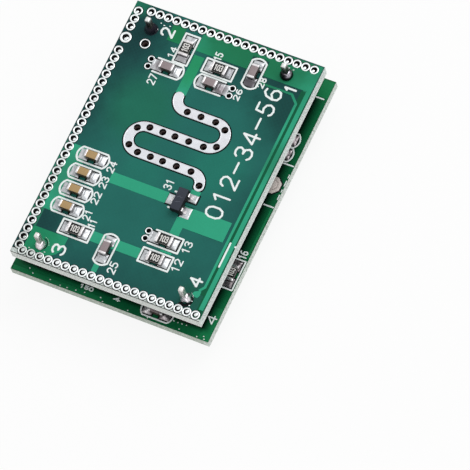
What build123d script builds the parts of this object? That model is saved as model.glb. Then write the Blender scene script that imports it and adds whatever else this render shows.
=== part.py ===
from build123d import *
import os

# Microwave radar sensor module: an antenna board held over a control board by four corner pins.
# Millimetres. The origin is under the middle of the boards, on the surface that the pins stand on.
# +Z is up, +Y runs along the boards and +X across them.

os.makedirs("parts", exist_ok=True)

# Boards
antenna_width = 24.0
antenna_length = 34.0
antenna_thickness = 1.6
control_thickness = 1.2
control_beyond_sides = 0.6
control_beyond_ends = 0.5
board_gap = 2.8
foil = 0.06

# Corner pins, with the collar between the boards and the solder at both ends.
# Each pin is measured from the two antenna board edges beside it.
pin_1_from_right = 3.7
pin_1_from_top = 2.5
pin_2_from_left = 3.1
pin_2_from_top = 2.8
pin_3_from_left = 3.0
pin_3_from_bottom = 2.0
pin_4_from_right = 2.8
pin_4_from_bottom = 2.0
pin_side = 0.64
pin_above = 2.7
pin_chamfer = 0.15
pin_hole = 1.05
foot_clearance = 0.2
collar_side = 2.5
collar_corner = 0.5
cone_base = 0.88
cone_top = 0.5
cone_height = 0.9
cone_hollow = 0.12

# Side-entry socket under the control board
socket_width = 6.0
socket_depth = 5.0
socket_height = 3.1
socket_wall = 0.5
socket_back = 1.0
socket_setback = 0.2
socket_notch_width = 2.0
socket_notch_depth = 1.4
contact_count = 3
contact_pitch = 1.5
contact_side = 0.5
contact_bend = 0.4
contact_hole = 0.8
contact_short_of_mouth = 0.9
contact_behind_socket = 0.4
contact_above_board = 0.7
contact_cone_base = 0.6
contact_cone_top = 0.4
contact_cone_height = 0.5

# Plated holes along three edges of the antenna board
edge_pitch = 1.097
edge_hole = 0.5
edge_ring = 1.05
left_inset = 0.66
top_inset = 0.77
bottom_inset = 0.55
top_row_start = 2.15
top_row_end = 0.95
bottom_row_start = 1.3
bottom_row_end = 0.65
left_column_start = 1.1
left_column_end = 6.55
corner_column_start = 1.2
corner_column_count = 3
corner_column_pitch = 1.06

# Larger plated holes, and the small ones beside three of the parts
post_hole = 0.75
post_ring = 1.4
post_from_left = 0.75
post_from_top = 4.8
free_hole = 0.8
free_ring = 1.33
free_from_left = 3.22
free_from_top = 4.75
side_hole = 0.48
side_ring = 0.92
side_hole_spacing = 0.98
capacitor_7_holes_from_centre = -2.3
capacitor_6_holes_from_centre = 2.55
resistor_3_holes_from_centre = -2.25

# S-shaped antenna strip
strip_width = 1.18
strip_pitch = 3.33
strip_first_row = 6.1
strip_right_loop = 3.4
strip_left_loop = -3.76
strip_entry_bend = 1.45
strip_entry = -2.17
strip_exit_bend = 1.4
strip_exit = 4.83
strip_hole = 0.8
strip_hole_columns = (-3.62, -1.97, -0.42, 1.33, 3.2)
strip_loop_hole_angle = 43
strip_exit_hole_before_end = 0.13

# Chip resistors and capacitors, and the pads under them
resistor_length = 2.0
resistor_width = 1.25
resistor_height = 0.5
capacitor_length = 1.8
capacitor_width = 0.95
capacitor_height = 0.85
cap_length = 0.35
cap_step = 0.02
pad_length = 1.2
pad_width = 1.35
pad_spacing = 2.2

# Small three-legged transistor package
transistor_width = 1.3
transistor_length = 2.9
transistor_height = 1.0
transistor_span = 2.4
transistor_lead_width = 0.42
transistor_lead_spacing = 0.95
transistor_pad_length = 1.15
transistor_pad_offset = 1.13
transistor_single_pad = 1.25
transistor_upper_pad = 1.0
transistor_lower_pad = 1.4

# Sixteen-legged controller package
controller_width = 3.9
controller_length = 9.9
controller_height = 1.5
controller_span = 6.0
controller_lead_width = 0.4
controller_lead_pitch = 1.27
controller_leads_per_side = 8
controller_pad_length = 1.3
controller_pad_width = 0.6

# Regulator package, with a tab behind it and three leads in front
regulator_width = 2.5
regulator_length = 4.5
regulator_height = 1.5
regulator_lead_width = 0.45
regulator_lead_pitch = 1.5
regulator_lead_length = 0.9
regulator_tab_width = 1.7
regulator_tab_length = 0.5
regulator_metal_thickness = 0.4
regulator_pad_margin = 0.1

# Common to the moulded packages
lead_thickness = 0.14
lead_bend = 0.1
lead_shoulder = 0.13
lead_lean = 0.1
package_standoff = 0.1
package_taper = 7

# Two large solder pads by the control board's right edge
large_pad = 2.1
large_pad_hole = 0.85
large_pad_from_right = 1.5
large_pad_spacing = 3.4
large_pad_y = 3.0

# Packages on the boards, and the parts that keep their distance from an edge, a pin or the strip
column_from_left = 3.86
column_from_bottom = 7.17
column_pitch = 2.26
rf_transistor_beside_strip = 1.08
rf_transistor_below_strip = 2.54
controller_x = -0.5
controller_y = 3.5
regulator_from_left = 6.1
regulator_y = -9.0
output_transistor_x = 5.0
output_transistor_y = -9.5
edge_capacitor_beside_pin = 3.6
edge_capacitor_from_end = 1.3

# Heights, all from the surface that the pins stand on
control_bottom = socket_height + foot_clearance
control_top = control_bottom + control_thickness
antenna_bottom = control_top + board_gap
antenna_top = antenna_bottom + antenna_thickness
pin_top = antenna_top + pin_above
control_seat = control_top + foil
antenna_seat = antenna_top + foil

# Edges of the boards
left, right = -antenna_width / 2, antenna_width / 2
bottom, top = -antenna_length / 2, antenna_length / 2
control_right = right + control_beyond_sides
control_left = -control_right
control_low, control_high = bottom - control_beyond_ends, top + control_beyond_ends

# Where the corner pins stand
corner_pins = {
    "corner_pin_1": (right - pin_1_from_right, top - pin_1_from_top),
    "corner_pin_2": (left + pin_2_from_left, top - pin_2_from_top),
    "corner_pin_3": (left + pin_3_from_left, bottom + pin_3_from_bottom),
    "corner_pin_4": (right - pin_4_from_right, bottom + pin_4_from_bottom),
}

# Centre lines of the antenna strip's rows
strip_rows = [strip_first_row - step * strip_pitch for step in range(3)]
strip_end = strip_rows[2] - strip_exit_bend


def spread(shares, half_width, half_length):
    """Parts placed by shares of a board's half width and half length, so that a layout keeps its spread."""
    return {name: (x * half_width, y * half_length, along) for name, (x, y, along) in shares.items()}


# Chip parts on the antenna board, and whether each lies along it
antenna_resistors = spread(
    {
        "resistor_1": (-0.502, -0.708, False),
        "resistor_2": (0.34, -0.701, False),
        "resistor_3": (0.34, -0.557, False),
        "resistor_4": (-0.329, 0.781, True),
        "resistor_5": (0.06, 0.723, False),
    },
    right,
    top,
)
antenna_capacitors = spread(
    {
        "capacitor_5": (-0.145, -0.758, True),
        "capacitor_6": (0.052, 0.6, False),
        "capacitor_7": (-0.412, 0.604, False),
        "capacitor_8": (0.393, 0.781, True),
    },
    right,
    top,
)
for step in range(4):
    antenna_capacitors[f"capacitor_{step + 1}"] = (
        left + column_from_left,
        bottom + column_from_bottom + step * column_pitch,
        False,
    )
side_hole_pairs = {
    "capacitor_7": capacitor_7_holes_from_centre,
    "capacitor_6": capacitor_6_holes_from_centre,
    "resistor_3": resistor_3_holes_from_centre,
}

# Chip parts on the control board
control_resistors = spread(
    {
        "control_resistor_1": (0.913, -0.503, True),
        "control_resistor_2": (0.42, -0.274, False),
        "control_resistor_3": (-0.524, 0.343, True),
    },
    control_right,
    control_high,
)
control_capacitors = spread(
    {
        "control_capacitor_1": (0.783, 0.513, False),
        "control_capacitor_2": (0.783, 0.406, False),
        "control_capacitor_4": (-0.508, -0.263, False),
        "control_capacitor_5": (-0.698, 0.343, True),
    },
    control_right,
    control_high,
)
control_capacitors["control_capacitor_3"] = (
    corner_pins["corner_pin_4"][0] - edge_capacitor_beside_pin,
    control_low + edge_capacitor_from_end,
    False,
)

# Packages
rf_transistor_x = strip_exit - rf_transistor_beside_strip
rf_transistor_y = strip_end - rf_transistor_below_strip
regulator_x = control_left + regulator_from_left


def save(piece, name):
    """Label a finished piece and write it to its own file."""
    piece.part.label = name
    export_step(piece.part, f"parts/{name}.step")


def row(start, end, pitch):
    """Evenly pitched places from start, as many as fit before end."""
    count = int((end - start) / pitch) + 1
    return [start + step * pitch for step in range(count)]


def edge_places():
    """Centres of the plated holes along the left, top and bottom edges."""
    top_row = [(x, top - top_inset) for x in row(left + top_row_start, right - top_row_end, edge_pitch)]
    bottom_row = [
        (x, bottom + bottom_inset)
        for x in row(left + bottom_row_start, right - bottom_row_end, edge_pitch)
    ]
    left_column = [
        (left + left_inset, y)
        for y in row(bottom + left_column_start, top - left_column_end, edge_pitch)
    ]
    corner_column = [
        (left + left_inset, top - corner_column_start - step * corner_column_pitch)
        for step in range(corner_column_count)
    ]
    return top_row + bottom_row + left_column + corner_column


def side_places():
    """Centres of the small plated holes beside the parts that have them."""
    parts = {**antenna_resistors, **antenna_capacitors}
    places = []
    for name, reach in side_hole_pairs.items():
        x, y, _ = parts[name]
        for step in (-0.5, 0.5):
            places.append((x + reach, y + step * side_hole_spacing))
    return places


def strip_holes():
    """Centres of the holes along the antenna strip; the top row has fewer than the others."""
    places = [(x, strip_rows[0]) for x in strip_hole_columns[2:]]
    places += [(x, y) for y in strip_rows[1:] for x in strip_hole_columns]
    loops = ((strip_right_loop, strip_rows[0], 0), (strip_left_loop, strip_rows[1], 180))
    for loop_x, upper_row, facing in loops:
        centre = Vector(loop_x, upper_row - strip_pitch / 2)
        for turn in (facing - strip_loop_hole_angle, facing + strip_loop_hole_angle):
            place = centre + Vector(strip_pitch / 2, 0).rotate(Axis.Z, turn)
            places.append((place.X, place.Y))
    return places + [(strip_exit, strip_end + strip_exit_hole_before_end)]


def part_plane(x, y, height, along):
    """A plane on a part's seat, with its own X along the part."""
    return Plane(origin=(x, y, height), x_dir=(0, 1, 0) if along else (1, 0, 0), z_dir=(0, 0, 1))


def build_chips(parts, seat, length, width, height):
    """Chip parts: a ceramic block with a metal cap wrapped round each end."""
    for name, (x, y, along) in parts.items():
        with BuildPart() as chip:
            with BuildSketch(part_plane(x, y, seat + cap_step, along)):
                Rectangle(length - 2 * cap_step, width - 2 * cap_step)
            extrude(amount=height - 2 * cap_step)
            with BuildSketch(part_plane(x, y, seat, along)):
                with GridLocations(length - cap_length, 0, 2, 1):
                    Rectangle(cap_length, width)
            extrude(amount=height)
        save(chip, name)


def moulded_body(name, x, y, seat, width, length, height):
    """A moulded package that tapers above and below the band where its leads leave."""
    band_low = seat + package_standoff + (height - lead_thickness) / 2
    band_high = band_low + lead_thickness
    with BuildPart() as body:
        with BuildSketch(Plane.XY.offset(band_low)):
            with Locations((x, y)):
                Rectangle(width, length)
        extrude(amount=lead_thickness)
        with BuildSketch(Plane.XY.offset(band_high)):
            with Locations((x, y)):
                Rectangle(width, length)
        extrude(amount=seat + package_standoff + height - band_high, taper=package_taper)
        with BuildSketch(Plane.XY.offset(band_low)):
            with Locations((x, y)):
                Rectangle(width, length)
        extrude(amount=seat + package_standoff - band_low, taper=package_taper)
    save(body, name)


def lead_foot(width, span):
    """Length of the flat foot that a lead has left beyond its bends."""
    return (span - width) / 2 - lead_shoulder - lead_lean


def bent_leads(name, x, seat, width, height, span, lead_width, places):
    """Leads that leave a package's side, bend down and lie flat on their pads."""
    exit_height = package_standoff + height / 2
    with BuildPart() as leads:
        for side, y in places:
            plane = Plane(origin=(x, y, seat), x_dir=(side, 0, 0), z_dir=(0, -side, 0))
            with BuildSketch(plane):
                with BuildLine():
                    path = FilletPolyline(
                        (width / 2, exit_height),
                        (width / 2 + lead_shoulder, exit_height),
                        (span / 2 - lead_foot(width, span), lead_thickness / 2),
                        (span / 2, lead_thickness / 2),
                        radius=lead_bend,
                    )
                trace(path, line_width=lead_thickness)
            extrude(amount=lead_width / 2, both=True)
    save(leads, name)


def solder_cones(name, places, face, up, base, tip, height, square):
    """Concave solder cones round square pins, on a board's upper or lower face."""
    with BuildPart() as cones:
        for x, y in places:
            plane = Plane(origin=(x, y, face), x_dir=(1, 0, 0), z_dir=(0, -up, 0))
            with BuildSketch(plane):
                with BuildLine():
                    Polyline((tip, height), (0, height), (0, 0), (base, 0))
                    ThreePointArc(
                        (base, 0),
                        ((base + tip) / 2 - cone_hollow, height / 2 - cone_hollow),
                        (tip, height),
                    )
                make_face()
            revolve(axis=Axis((x, y, face), (0, 0, 1)))
        with BuildSketch(Plane.XY.offset(face)):
            with Locations(*places):
                Rectangle(square, square)
        extrude(amount=up * height, mode=Mode.SUBTRACT)
    save(cones, name)


# Places that more than one piece uses
pin_places = list(corner_pins.values())
post_place = (left + post_from_left, top - post_from_top)
free_place = (left + free_from_left, top - free_from_top)
socket_mouth = control_high - socket_setback
socket_rear = socket_mouth - socket_depth
leg_y = socket_rear - contact_behind_socket
leg_places = [
    ((step - (contact_count - 1) / 2) * contact_pitch, leg_y) for step in range(contact_count)
]
large_pad_places = [
    (control_right - large_pad_from_right - step * large_pad_spacing, large_pad_y) for step in range(2)
]

# Antenna board, with every hole that passes through it
with BuildPart() as antenna_board:
    with BuildSketch(Plane.XY.offset(antenna_bottom)):
        Rectangle(antenna_width, antenna_length)
        holes = (
            (edge_hole, edge_places()),
            (side_hole, side_places()),
            (strip_hole, strip_holes()),
            (post_hole, [post_place]),
            (free_hole, [free_place]),
            (pin_hole, pin_places),
        )
        for diameter, places in holes:
            with Locations(*places):
                Circle(diameter / 2, mode=Mode.SUBTRACT)
    extrude(amount=antenna_thickness)
save(antenna_board, "antenna_board")

# Antenna strip: three rows joined by two half loops, with a quarter bend at each end
with BuildPart() as antenna_strip:
    with BuildSketch(Plane.XY.offset(antenna_top)):
        with BuildLine():
            entry = CenterArc(
                (strip_entry + strip_entry_bend, strip_rows[0] + strip_entry_bend),
                strip_entry_bend, 180, 90,
            )
            first = Line(entry @ 1, (strip_right_loop, strip_rows[0]))
            right_loop = CenterArc(
                (strip_right_loop, strip_rows[0] - strip_pitch / 2), strip_pitch / 2, 90, -180
            )
            second = Line(right_loop @ 1, (strip_left_loop, strip_rows[1]))
            left_loop = CenterArc(
                (strip_left_loop, strip_rows[1] - strip_pitch / 2), strip_pitch / 2, 90, 180
            )
            third = Line(left_loop @ 1, (strip_exit - strip_exit_bend, strip_rows[2]))
            exit_bend = CenterArc(
                (strip_exit - strip_exit_bend, strip_rows[2] - strip_exit_bend),
                strip_exit_bend, 90, -90,
            )
        trace(
            [entry, first, right_loop, second, left_loop, third, exit_bend],
            line_width=strip_width,
        )
        with Locations(entry @ 0, exit_bend @ 1):
            Circle(strip_width / 2)
        with Locations(*strip_holes()):
            Circle(strip_hole / 2, mode=Mode.SUBTRACT)
    extrude(amount=foil)
save(antenna_strip, "antenna_strip")


def rings(name, outer, inner, places):
    """Tinned rings round plated holes in the antenna board."""
    with BuildPart() as group:
        with BuildSketch(Plane.XY.offset(antenna_top)):
            with Locations(*places):
                Circle(outer / 2)
            with Locations(*places):
                Circle(inner / 2, mode=Mode.SUBTRACT)
        extrude(amount=foil)
    save(group, name)


rings("edge_hole_rings", edge_ring, edge_hole, edge_places())
rings("side_hole_rings", side_ring, side_hole, side_places())
rings("post_hole_ring", post_ring, post_hole, [post_place])
rings("free_hole_ring", free_ring, free_hole, [free_place])


def transistor_places(y):
    """Side and place along the board of each lead of a three-legged package."""
    return [(-1, y), (1, y + transistor_lead_spacing), (1, y - transistor_lead_spacing)]


def part_pads(parts, transistor, face):
    """Plane, length and width of each pad under the chip parts and a three-legged package."""
    pads = []
    for x, y, along in parts.values():
        middle = part_plane(x, y, face, along)
        for side in (-1, 1):
            place = middle.from_local_coords((side * pad_spacing / 2, 0))
            pads.append((part_plane(place.X, place.Y, face, along), pad_length, pad_width))
    x, y = transistor
    widths = (transistor_single_pad, transistor_upper_pad, transistor_lower_pad)
    for (side, place), width in zip(transistor_places(y), widths):
        pad = part_plane(x + side * transistor_pad_offset, place, face, False)
        pads.append((pad, transistor_pad_length, width))
    return pads


# Solder pads of the antenna board
with BuildPart() as antenna_pads:
    for plane, length, width in part_pads(
        {**antenna_resistors, **antenna_capacitors}, (rf_transistor_x, rf_transistor_y), antenna_top
    ):
        with BuildSketch(plane):
            Rectangle(length, width)
        extrude(amount=foil)
save(antenna_pads, "antenna_pads")

# Parts on the antenna board
build_chips(antenna_resistors, antenna_seat, resistor_length, resistor_width, resistor_height)
build_chips(antenna_capacitors, antenna_seat, capacitor_length, capacitor_width, capacitor_height)
moulded_body(
    "rf_transistor", rf_transistor_x, rf_transistor_y, antenna_seat,
    transistor_width, transistor_length, transistor_height,
)
bent_leads(
    "rf_transistor_leads", rf_transistor_x, antenna_seat, transistor_width, transistor_height,
    transistor_span, transistor_lead_width, transistor_places(rf_transistor_y),
)

# Corner pins: square wire from the surface below to well above the antenna board
for name, (x, y) in corner_pins.items():
    with BuildPart() as pin:
        with BuildSketch():
            with Locations((x, y)):
                Rectangle(pin_side, pin_side)
        extrude(amount=pin_top)
        ends = pin.edges().group_by(Axis.Z)
        chamfer(ends[0] + ends[-1], pin_chamfer)
    save(pin, name)

# Collars that keep the boards apart, and the solder at both ends of the pins
for number, place in enumerate(pin_places, 1):
    with BuildPart() as collar:
        with BuildSketch(Plane.XY.offset(control_top)) as collar_outline:
            with Locations(place):
                Rectangle(collar_side, collar_side)
            chamfer(collar_outline.vertices(), collar_corner)
            with Locations(place):
                Rectangle(pin_side, pin_side, mode=Mode.SUBTRACT)
        extrude(amount=board_gap)
    save(collar, f"pin_collar_{number}")
solder_cones(
    "upper_solder_cones", pin_places, antenna_top, 1, cone_base, cone_top, cone_height, pin_side
)
solder_cones(
    "lower_solder_cones", pin_places, control_bottom, -1, cone_base, cone_top, cone_height, pin_side
)

# Control board
with BuildPart() as control_board:
    with BuildSketch(Plane.XY.offset(control_bottom)):
        Rectangle(2 * control_right, 2 * control_high)
        with Locations(*pin_places):
            Circle(pin_hole / 2, mode=Mode.SUBTRACT)
        with Locations(*leg_places):
            Circle(contact_hole / 2, mode=Mode.SUBTRACT)
        with Locations(*large_pad_places):
            Circle(large_pad_hole / 2, mode=Mode.SUBTRACT)
    extrude(amount=control_thickness)
save(control_board, "control_board")

controller_places = [
    (side, controller_y + (step - (controller_leads_per_side - 1) / 2) * controller_lead_pitch)
    for side in (-1, 1)
    for step in range(controller_leads_per_side)
]
regulator_lead_places = [regulator_y + step * regulator_lead_pitch for step in (-1, 0, 1)]

# Solder pads of the control board
with BuildPart() as control_pads:
    for plane, length, width in part_pads(
        {**control_resistors, **control_capacitors},
        (output_transistor_x, output_transistor_y),
        control_top,
    ):
        with BuildSketch(plane):
            Rectangle(length, width)
        extrude(amount=foil)
    with BuildSketch(Plane.XY.offset(control_top)):
        foot_centre = (controller_span - lead_foot(controller_width, controller_span)) / 2
        for side, y in controller_places:
            with Locations((controller_x + side * foot_centre, y)):
                Rectangle(controller_pad_length, controller_pad_width)
        with Locations((regulator_x, regulator_y)):
            Rectangle(
                regulator_width + 2 * (regulator_tab_length + regulator_pad_margin),
                regulator_tab_width,
            )
        with Locations(*[
            (regulator_x + (regulator_width + regulator_lead_length) / 2, y)
            for y in regulator_lead_places
        ]):
            Rectangle(
                regulator_lead_length + 2 * regulator_pad_margin,
                regulator_lead_width + 2 * regulator_pad_margin,
            )
        with Locations(*large_pad_places):
            RegularPolygon(large_pad / 2, 8, major_radius=False)
    extrude(amount=foil)
save(control_pads, "control_pads")

# Parts on the control board
build_chips(control_resistors, control_seat, resistor_length, resistor_width, resistor_height)
build_chips(control_capacitors, control_seat, capacitor_length, capacitor_width, capacitor_height)
moulded_body(
    "output_transistor", output_transistor_x, output_transistor_y, control_seat,
    transistor_width, transistor_length, transistor_height,
)
bent_leads(
    "output_transistor_leads", output_transistor_x, control_seat, transistor_width,
    transistor_height, transistor_span, transistor_lead_width,
    transistor_places(output_transistor_y),
)
moulded_body(
    "controller_chip", controller_x, controller_y, control_seat,
    controller_width, controller_length, controller_height,
)
bent_leads(
    "controller_leads", controller_x, control_seat, controller_width, controller_height,
    controller_span, controller_lead_width, controller_places,
)

# Regulator: a moulded block on a metal tab, with three flat leads
with BuildPart() as regulator_metal:
    with BuildSketch(Plane.XY.offset(control_seat)):
        with Locations((regulator_x, regulator_y)):
            Rectangle(regulator_width, regulator_tab_width)
        with Locations((regulator_x - (regulator_width + regulator_tab_length) / 2, regulator_y)):
            Rectangle(regulator_tab_length, regulator_tab_width)
        with Locations(*[
            (regulator_x + (regulator_width + regulator_lead_length) / 2, y)
            for y in regulator_lead_places
        ]):
            Rectangle(regulator_lead_length, regulator_lead_width)
    extrude(amount=regulator_metal_thickness)
save(regulator_metal, "regulator_leads")
with BuildPart() as regulator:
    with BuildSketch(Plane.XY.offset(control_seat)):
        with Locations((regulator_x, regulator_y)):
            Rectangle(regulator_width, regulator_length)
            Rectangle(regulator_width, regulator_tab_width, mode=Mode.SUBTRACT)
    extrude(amount=regulator_metal_thickness)
    with BuildSketch(Plane.XY.offset(control_seat + regulator_metal_thickness)):
        with Locations((regulator_x, regulator_y)):
            Rectangle(regulator_width, regulator_length)
    extrude(amount=regulator_height - regulator_metal_thickness, taper=package_taper)
save(regulator, "regulator")

# Socket housing: a box open towards the board's edge, notched below its mouth
socket_middle = (socket_rear + socket_mouth) / 2
contact_height = control_bottom - socket_height / 2
with BuildPart() as socket_housing:
    with BuildSketch(Plane.XY.offset(control_bottom - socket_height)):
        with Locations((0, socket_middle)):
            Rectangle(socket_width, socket_depth)
    extrude(amount=socket_height)
    with BuildSketch(Plane.XZ.offset(-socket_mouth)):
        with Locations((0, contact_height)):
            Rectangle(socket_width - 2 * socket_wall, socket_height - 2 * socket_wall)
    extrude(amount=socket_depth - socket_back, mode=Mode.SUBTRACT)
    with BuildSketch(Plane.XY.offset(control_bottom - socket_height)):
        with Locations((0, socket_mouth - socket_notch_depth / 2)):
            Rectangle(socket_notch_width, socket_notch_depth)
    extrude(amount=socket_wall, mode=Mode.SUBTRACT)
    with BuildSketch(Plane.XZ.offset(-socket_rear)):
        with Locations(*[(x, contact_height) for x, _ in leg_places]):
            Rectangle(contact_side, contact_side)
    extrude(amount=-socket_back, mode=Mode.SUBTRACT)
save(socket_housing, "socket_housing")

# Contacts: bent square wire, from inside the socket to the control board's upper face
contact_tip = socket_mouth - contact_short_of_mouth
contact_top = control_top + contact_above_board
with BuildPart() as socket_contacts:
    for x, _ in leg_places:
        with BuildSketch(Plane.YZ.offset(x)):
            with BuildLine():
                bend = FilletPolyline(
                    (contact_tip, contact_height),
                    (leg_y, contact_height),
                    (leg_y, contact_top),
                    radius=contact_bend,
                )
            trace(bend, line_width=contact_side)
        extrude(amount=contact_side / 2, both=True)
save(socket_contacts, "socket_contacts")
solder_cones(
    "contact_solder_cones", leg_places, control_top, 1, contact_cone_base, contact_cone_top,
    contact_cone_height, contact_side,
)
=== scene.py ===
"""Looks of a microwave radar sensor module: two stacked circuit boards with their parts, solder and ink."""

import inspect
import math

import bmesh
import bpy
from mathutils import Matrix, Vector, noise


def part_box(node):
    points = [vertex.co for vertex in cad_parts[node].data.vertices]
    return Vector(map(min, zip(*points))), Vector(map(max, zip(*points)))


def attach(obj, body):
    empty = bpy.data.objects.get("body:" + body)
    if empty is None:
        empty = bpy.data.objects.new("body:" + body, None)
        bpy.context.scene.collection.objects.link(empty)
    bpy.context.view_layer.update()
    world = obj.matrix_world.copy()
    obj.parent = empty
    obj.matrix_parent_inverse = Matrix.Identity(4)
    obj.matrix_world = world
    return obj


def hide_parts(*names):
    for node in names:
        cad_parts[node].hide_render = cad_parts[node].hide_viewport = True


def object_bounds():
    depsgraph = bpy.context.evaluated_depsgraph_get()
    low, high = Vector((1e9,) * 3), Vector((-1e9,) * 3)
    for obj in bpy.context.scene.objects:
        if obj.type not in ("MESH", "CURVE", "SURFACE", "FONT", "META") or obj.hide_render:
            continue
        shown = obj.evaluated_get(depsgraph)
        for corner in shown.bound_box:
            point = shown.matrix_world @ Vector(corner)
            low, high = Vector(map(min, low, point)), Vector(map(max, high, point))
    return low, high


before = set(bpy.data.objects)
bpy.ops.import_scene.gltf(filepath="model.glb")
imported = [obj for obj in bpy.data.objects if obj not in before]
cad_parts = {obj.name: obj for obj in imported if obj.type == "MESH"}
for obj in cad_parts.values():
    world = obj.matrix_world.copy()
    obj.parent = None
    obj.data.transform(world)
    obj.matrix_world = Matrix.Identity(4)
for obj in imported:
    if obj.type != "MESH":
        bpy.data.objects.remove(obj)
CAD_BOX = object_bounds()

bl_info = {
    "name": "Radar module looks",
    "version": (1, 0, 0),
    "blender": (4, 5, 0),
    "location": "3D View > Sidebar > Radar module",
    "description": "Dresses the two boards of a microwave radar sensor module with solder, parts and ink",
    "category": "Object",
}

MM = 0.001
BODY = "root"


def level(node, end):
    """Height of a CAD node's underside (end 0) or top (end 1), in millimetres."""
    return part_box(node)[end].z / MM


UPPER_FACE = level("antenna_board", 1)
UPPER_BACK = level("antenna_board", 0)
LOWER_FACE = level("control_board", 1)
LOWER_BACK = level("control_board", 0)


def paint(red, green, blue):
    """A colour given as 0 to 255 display values, in the linear values that materials take."""
    channels = [value / 255 for value in (red, green, blue)]
    return tuple(c / 12.92 if c <= 0.04045 else ((c + 0.055) / 1.055) ** 2.4 for c in channels)


def colour_choice(name, description, shade):
    return bpy.props.FloatVectorProperty(
        name=name, description=description, subtype="COLOR", size=3, min=0, max=1, default=paint(*shade)
    )


def length_choice(name, description, millimetres):
    return bpy.props.FloatProperty(
        name=name, description=description, subtype="DISTANCE", unit="LENGTH", min=0,
        default=millimetres * MM, precision=6,
    )


def angle_choice(name, description, degrees):
    return bpy.props.FloatProperty(
        name=name, description=description, subtype="ANGLE", default=math.radians(degrees)
    )


def amount_choice(name, description, default, least=0):
    return bpy.props.FloatProperty(name=name, description=description, default=default, min=least)


# Choices in the sidebar


class RADAR_PG_boards(bpy.types.PropertyGroup):
    """Colours and sizes of the boards and of the copper below their mask."""

    upper_mask: colour_choice("Antenna mask", "Solder mask of the antenna board", (36, 106, 97))
    upper_mask_dark: colour_choice("Antenna mask, dark", "Darker fields of that mask", (22, 62, 63))
    upper_mask_green: colour_choice("Antenna mask, green", "Greener fields of that mask", (32, 110, 87))
    upper_copper: colour_choice("Antenna copper", "Mask over copper on the antenna board", (52, 166, 130))
    lower_mask: colour_choice("Control mask", "Solder mask of the control board", (12, 98, 58))
    lower_copper: colour_choice("Control copper", "Mask over copper on the control board", (26, 124, 76))
    laminate: colour_choice("Laminate", "Cut edge of the boards", (236, 247, 242))
    copper_height: length_choice("Copper height", "Step of the mask over a track", 0.03)
    clearing: length_choice("Clearing", "Dark gap in the mask round tinned copper", 0.1)
    ring_clearing: length_choice("Ring clearing", "Dark gap in the mask round the rings", 0.06)


class RADAR_PG_metal(bpy.types.PropertyGroup):
    """Colours and sizes of tinned copper and solder."""

    tin: colour_choice("Tin", "Tinned copper", (217, 219, 224))
    tin_dull: colour_choice("Tin, dull", "Duller streaks in the tin", (188, 184, 190))
    # dark solder stands for a painted reflection of dark surroundings
    solder_dark: colour_choice("Solder, dark", "Dark reflection-painted solder", (58, 54, 60))
    ring_height: length_choice("Ring height", "Height of the tin on the rings", 0.07)
    lip_width: length_choice("Lip width", "Width of the rounded rim along the strip", 0.13)
    solder_reach: length_choice("Solder reach", "How far solder climbs out from a chip's end", 0.2)


class RADAR_PG_ink(bpy.types.PropertyGroup):
    """Printed ink."""

    ink: colour_choice("Ink", "White marking ink", (246, 253, 252))
    line: length_choice("Line", "Width of the outlines", 0.25)
    small_line: length_choice("Small line", "Width of the small numbers' strokes", 0.17)
    large_line: length_choice("Large line", "Width of the large numbers' strokes", 0.27)
    height: length_choice("Ink height", "Thickness of the ink", 0.07)


class RADAR_PG_parts(bpy.types.PropertyGroup):
    """Colours of the fitted parts."""

    tan: colour_choice("Tan ceramic", "Capacitors in the left column", (176, 146, 100))
    brown: colour_choice("Brown ceramic", "The other capacitors", (150, 136, 138))
    glaze: colour_choice("Glaze", "Black top of the resistors", (14, 13, 15))
    epoxy: colour_choice("Epoxy", "Moulded packages", (54, 58, 68))
    alumina: colour_choice("Alumina", "White body of the resistors", (214, 214, 208))
    nylon: colour_choice("Nylon", "Socket housing", (232, 228, 214))
    collar: colour_choice("Collar", "Plastic collars of the pins", (24, 24, 26))


class RADAR_PG_view(bpy.types.PropertyGroup):
    """Camera and light."""

    azimuth: angle_choice("Azimuth", "Direction that the camera looks from", 42.4136)
    elevation: angle_choice("Elevation", "Camera's angle above the boards", 64.0648)
    roll: angle_choice("Roll", "Turn of the picture about the line of sight", -19.1188)
    aim: bpy.props.FloatVectorProperty(
        name="Aim", description="Point in the middle of the picture", subtype="TRANSLATION", size=3,
        unit="LENGTH", default=(11.2505 * MM, -5.8669 * MM, 8.9 * MM), precision=6,
    )
    distance: length_choice("Distance", "From the camera to the aim", 586.358)
    lens: amount_choice("Lens", "Focal length in millimetres for a 36 mm sensor", 398.3, 1)
    ambient: amount_choice("Zenith", "Strength of the sky light overhead", 1.0)
    horizon: amount_choice("Horizon", "Strength of the sky light at the horizon", 0.22)
    key: amount_choice("Key", "Power of the main soft light in watts", 0.9)
    fill: amount_choice("Fill", "Power of the fill light in watts", 0.4)


CHOICES = {
    "radar_boards": RADAR_PG_boards, "radar_metal": RADAR_PG_metal, "radar_ink": RADAR_PG_ink,
    "radar_parts": RADAR_PG_parts, "radar_view": RADAR_PG_view,
}


# Nodes and shared effects


def sign(operation, swapped=False):
    """What a sign between signals does: it adds one kind of math node to their tree."""
    return lambda *values: maths(operation, *(values[::-1] if swapped else values))


class Signal:
    """An output of a node that can be added, multiplied and compared like a number."""

    def __init__(self, socket):
        self.socket = socket

    __add__, __sub__, __rsub__ = sign("ADD"), sign("SUBTRACT"), sign("SUBTRACT", True)
    __mul__, __truediv__, __rtruediv__ = sign("MULTIPLY"), sign("DIVIDE"), sign("DIVIDE", True)
    __gt__, __lt__, __abs__ = sign("GREATER_THAN"), sign("LESS_THAN"), sign("ABSOLUTE")


def home(*values):
    """The tree of the first signal among some values."""
    return next(value.socket.id_data for value in values if isinstance(value, Signal))


def put(socket, value):
    """Link a socket to a signal, or set its own value."""
    if isinstance(value, Signal):
        socket.id_data.links.new(value.socket, socket)
    elif socket.type == "RGBA" and len(value) == 3:
        socket.default_value = (*value, 1)
    else:
        socket.default_value = value


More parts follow.
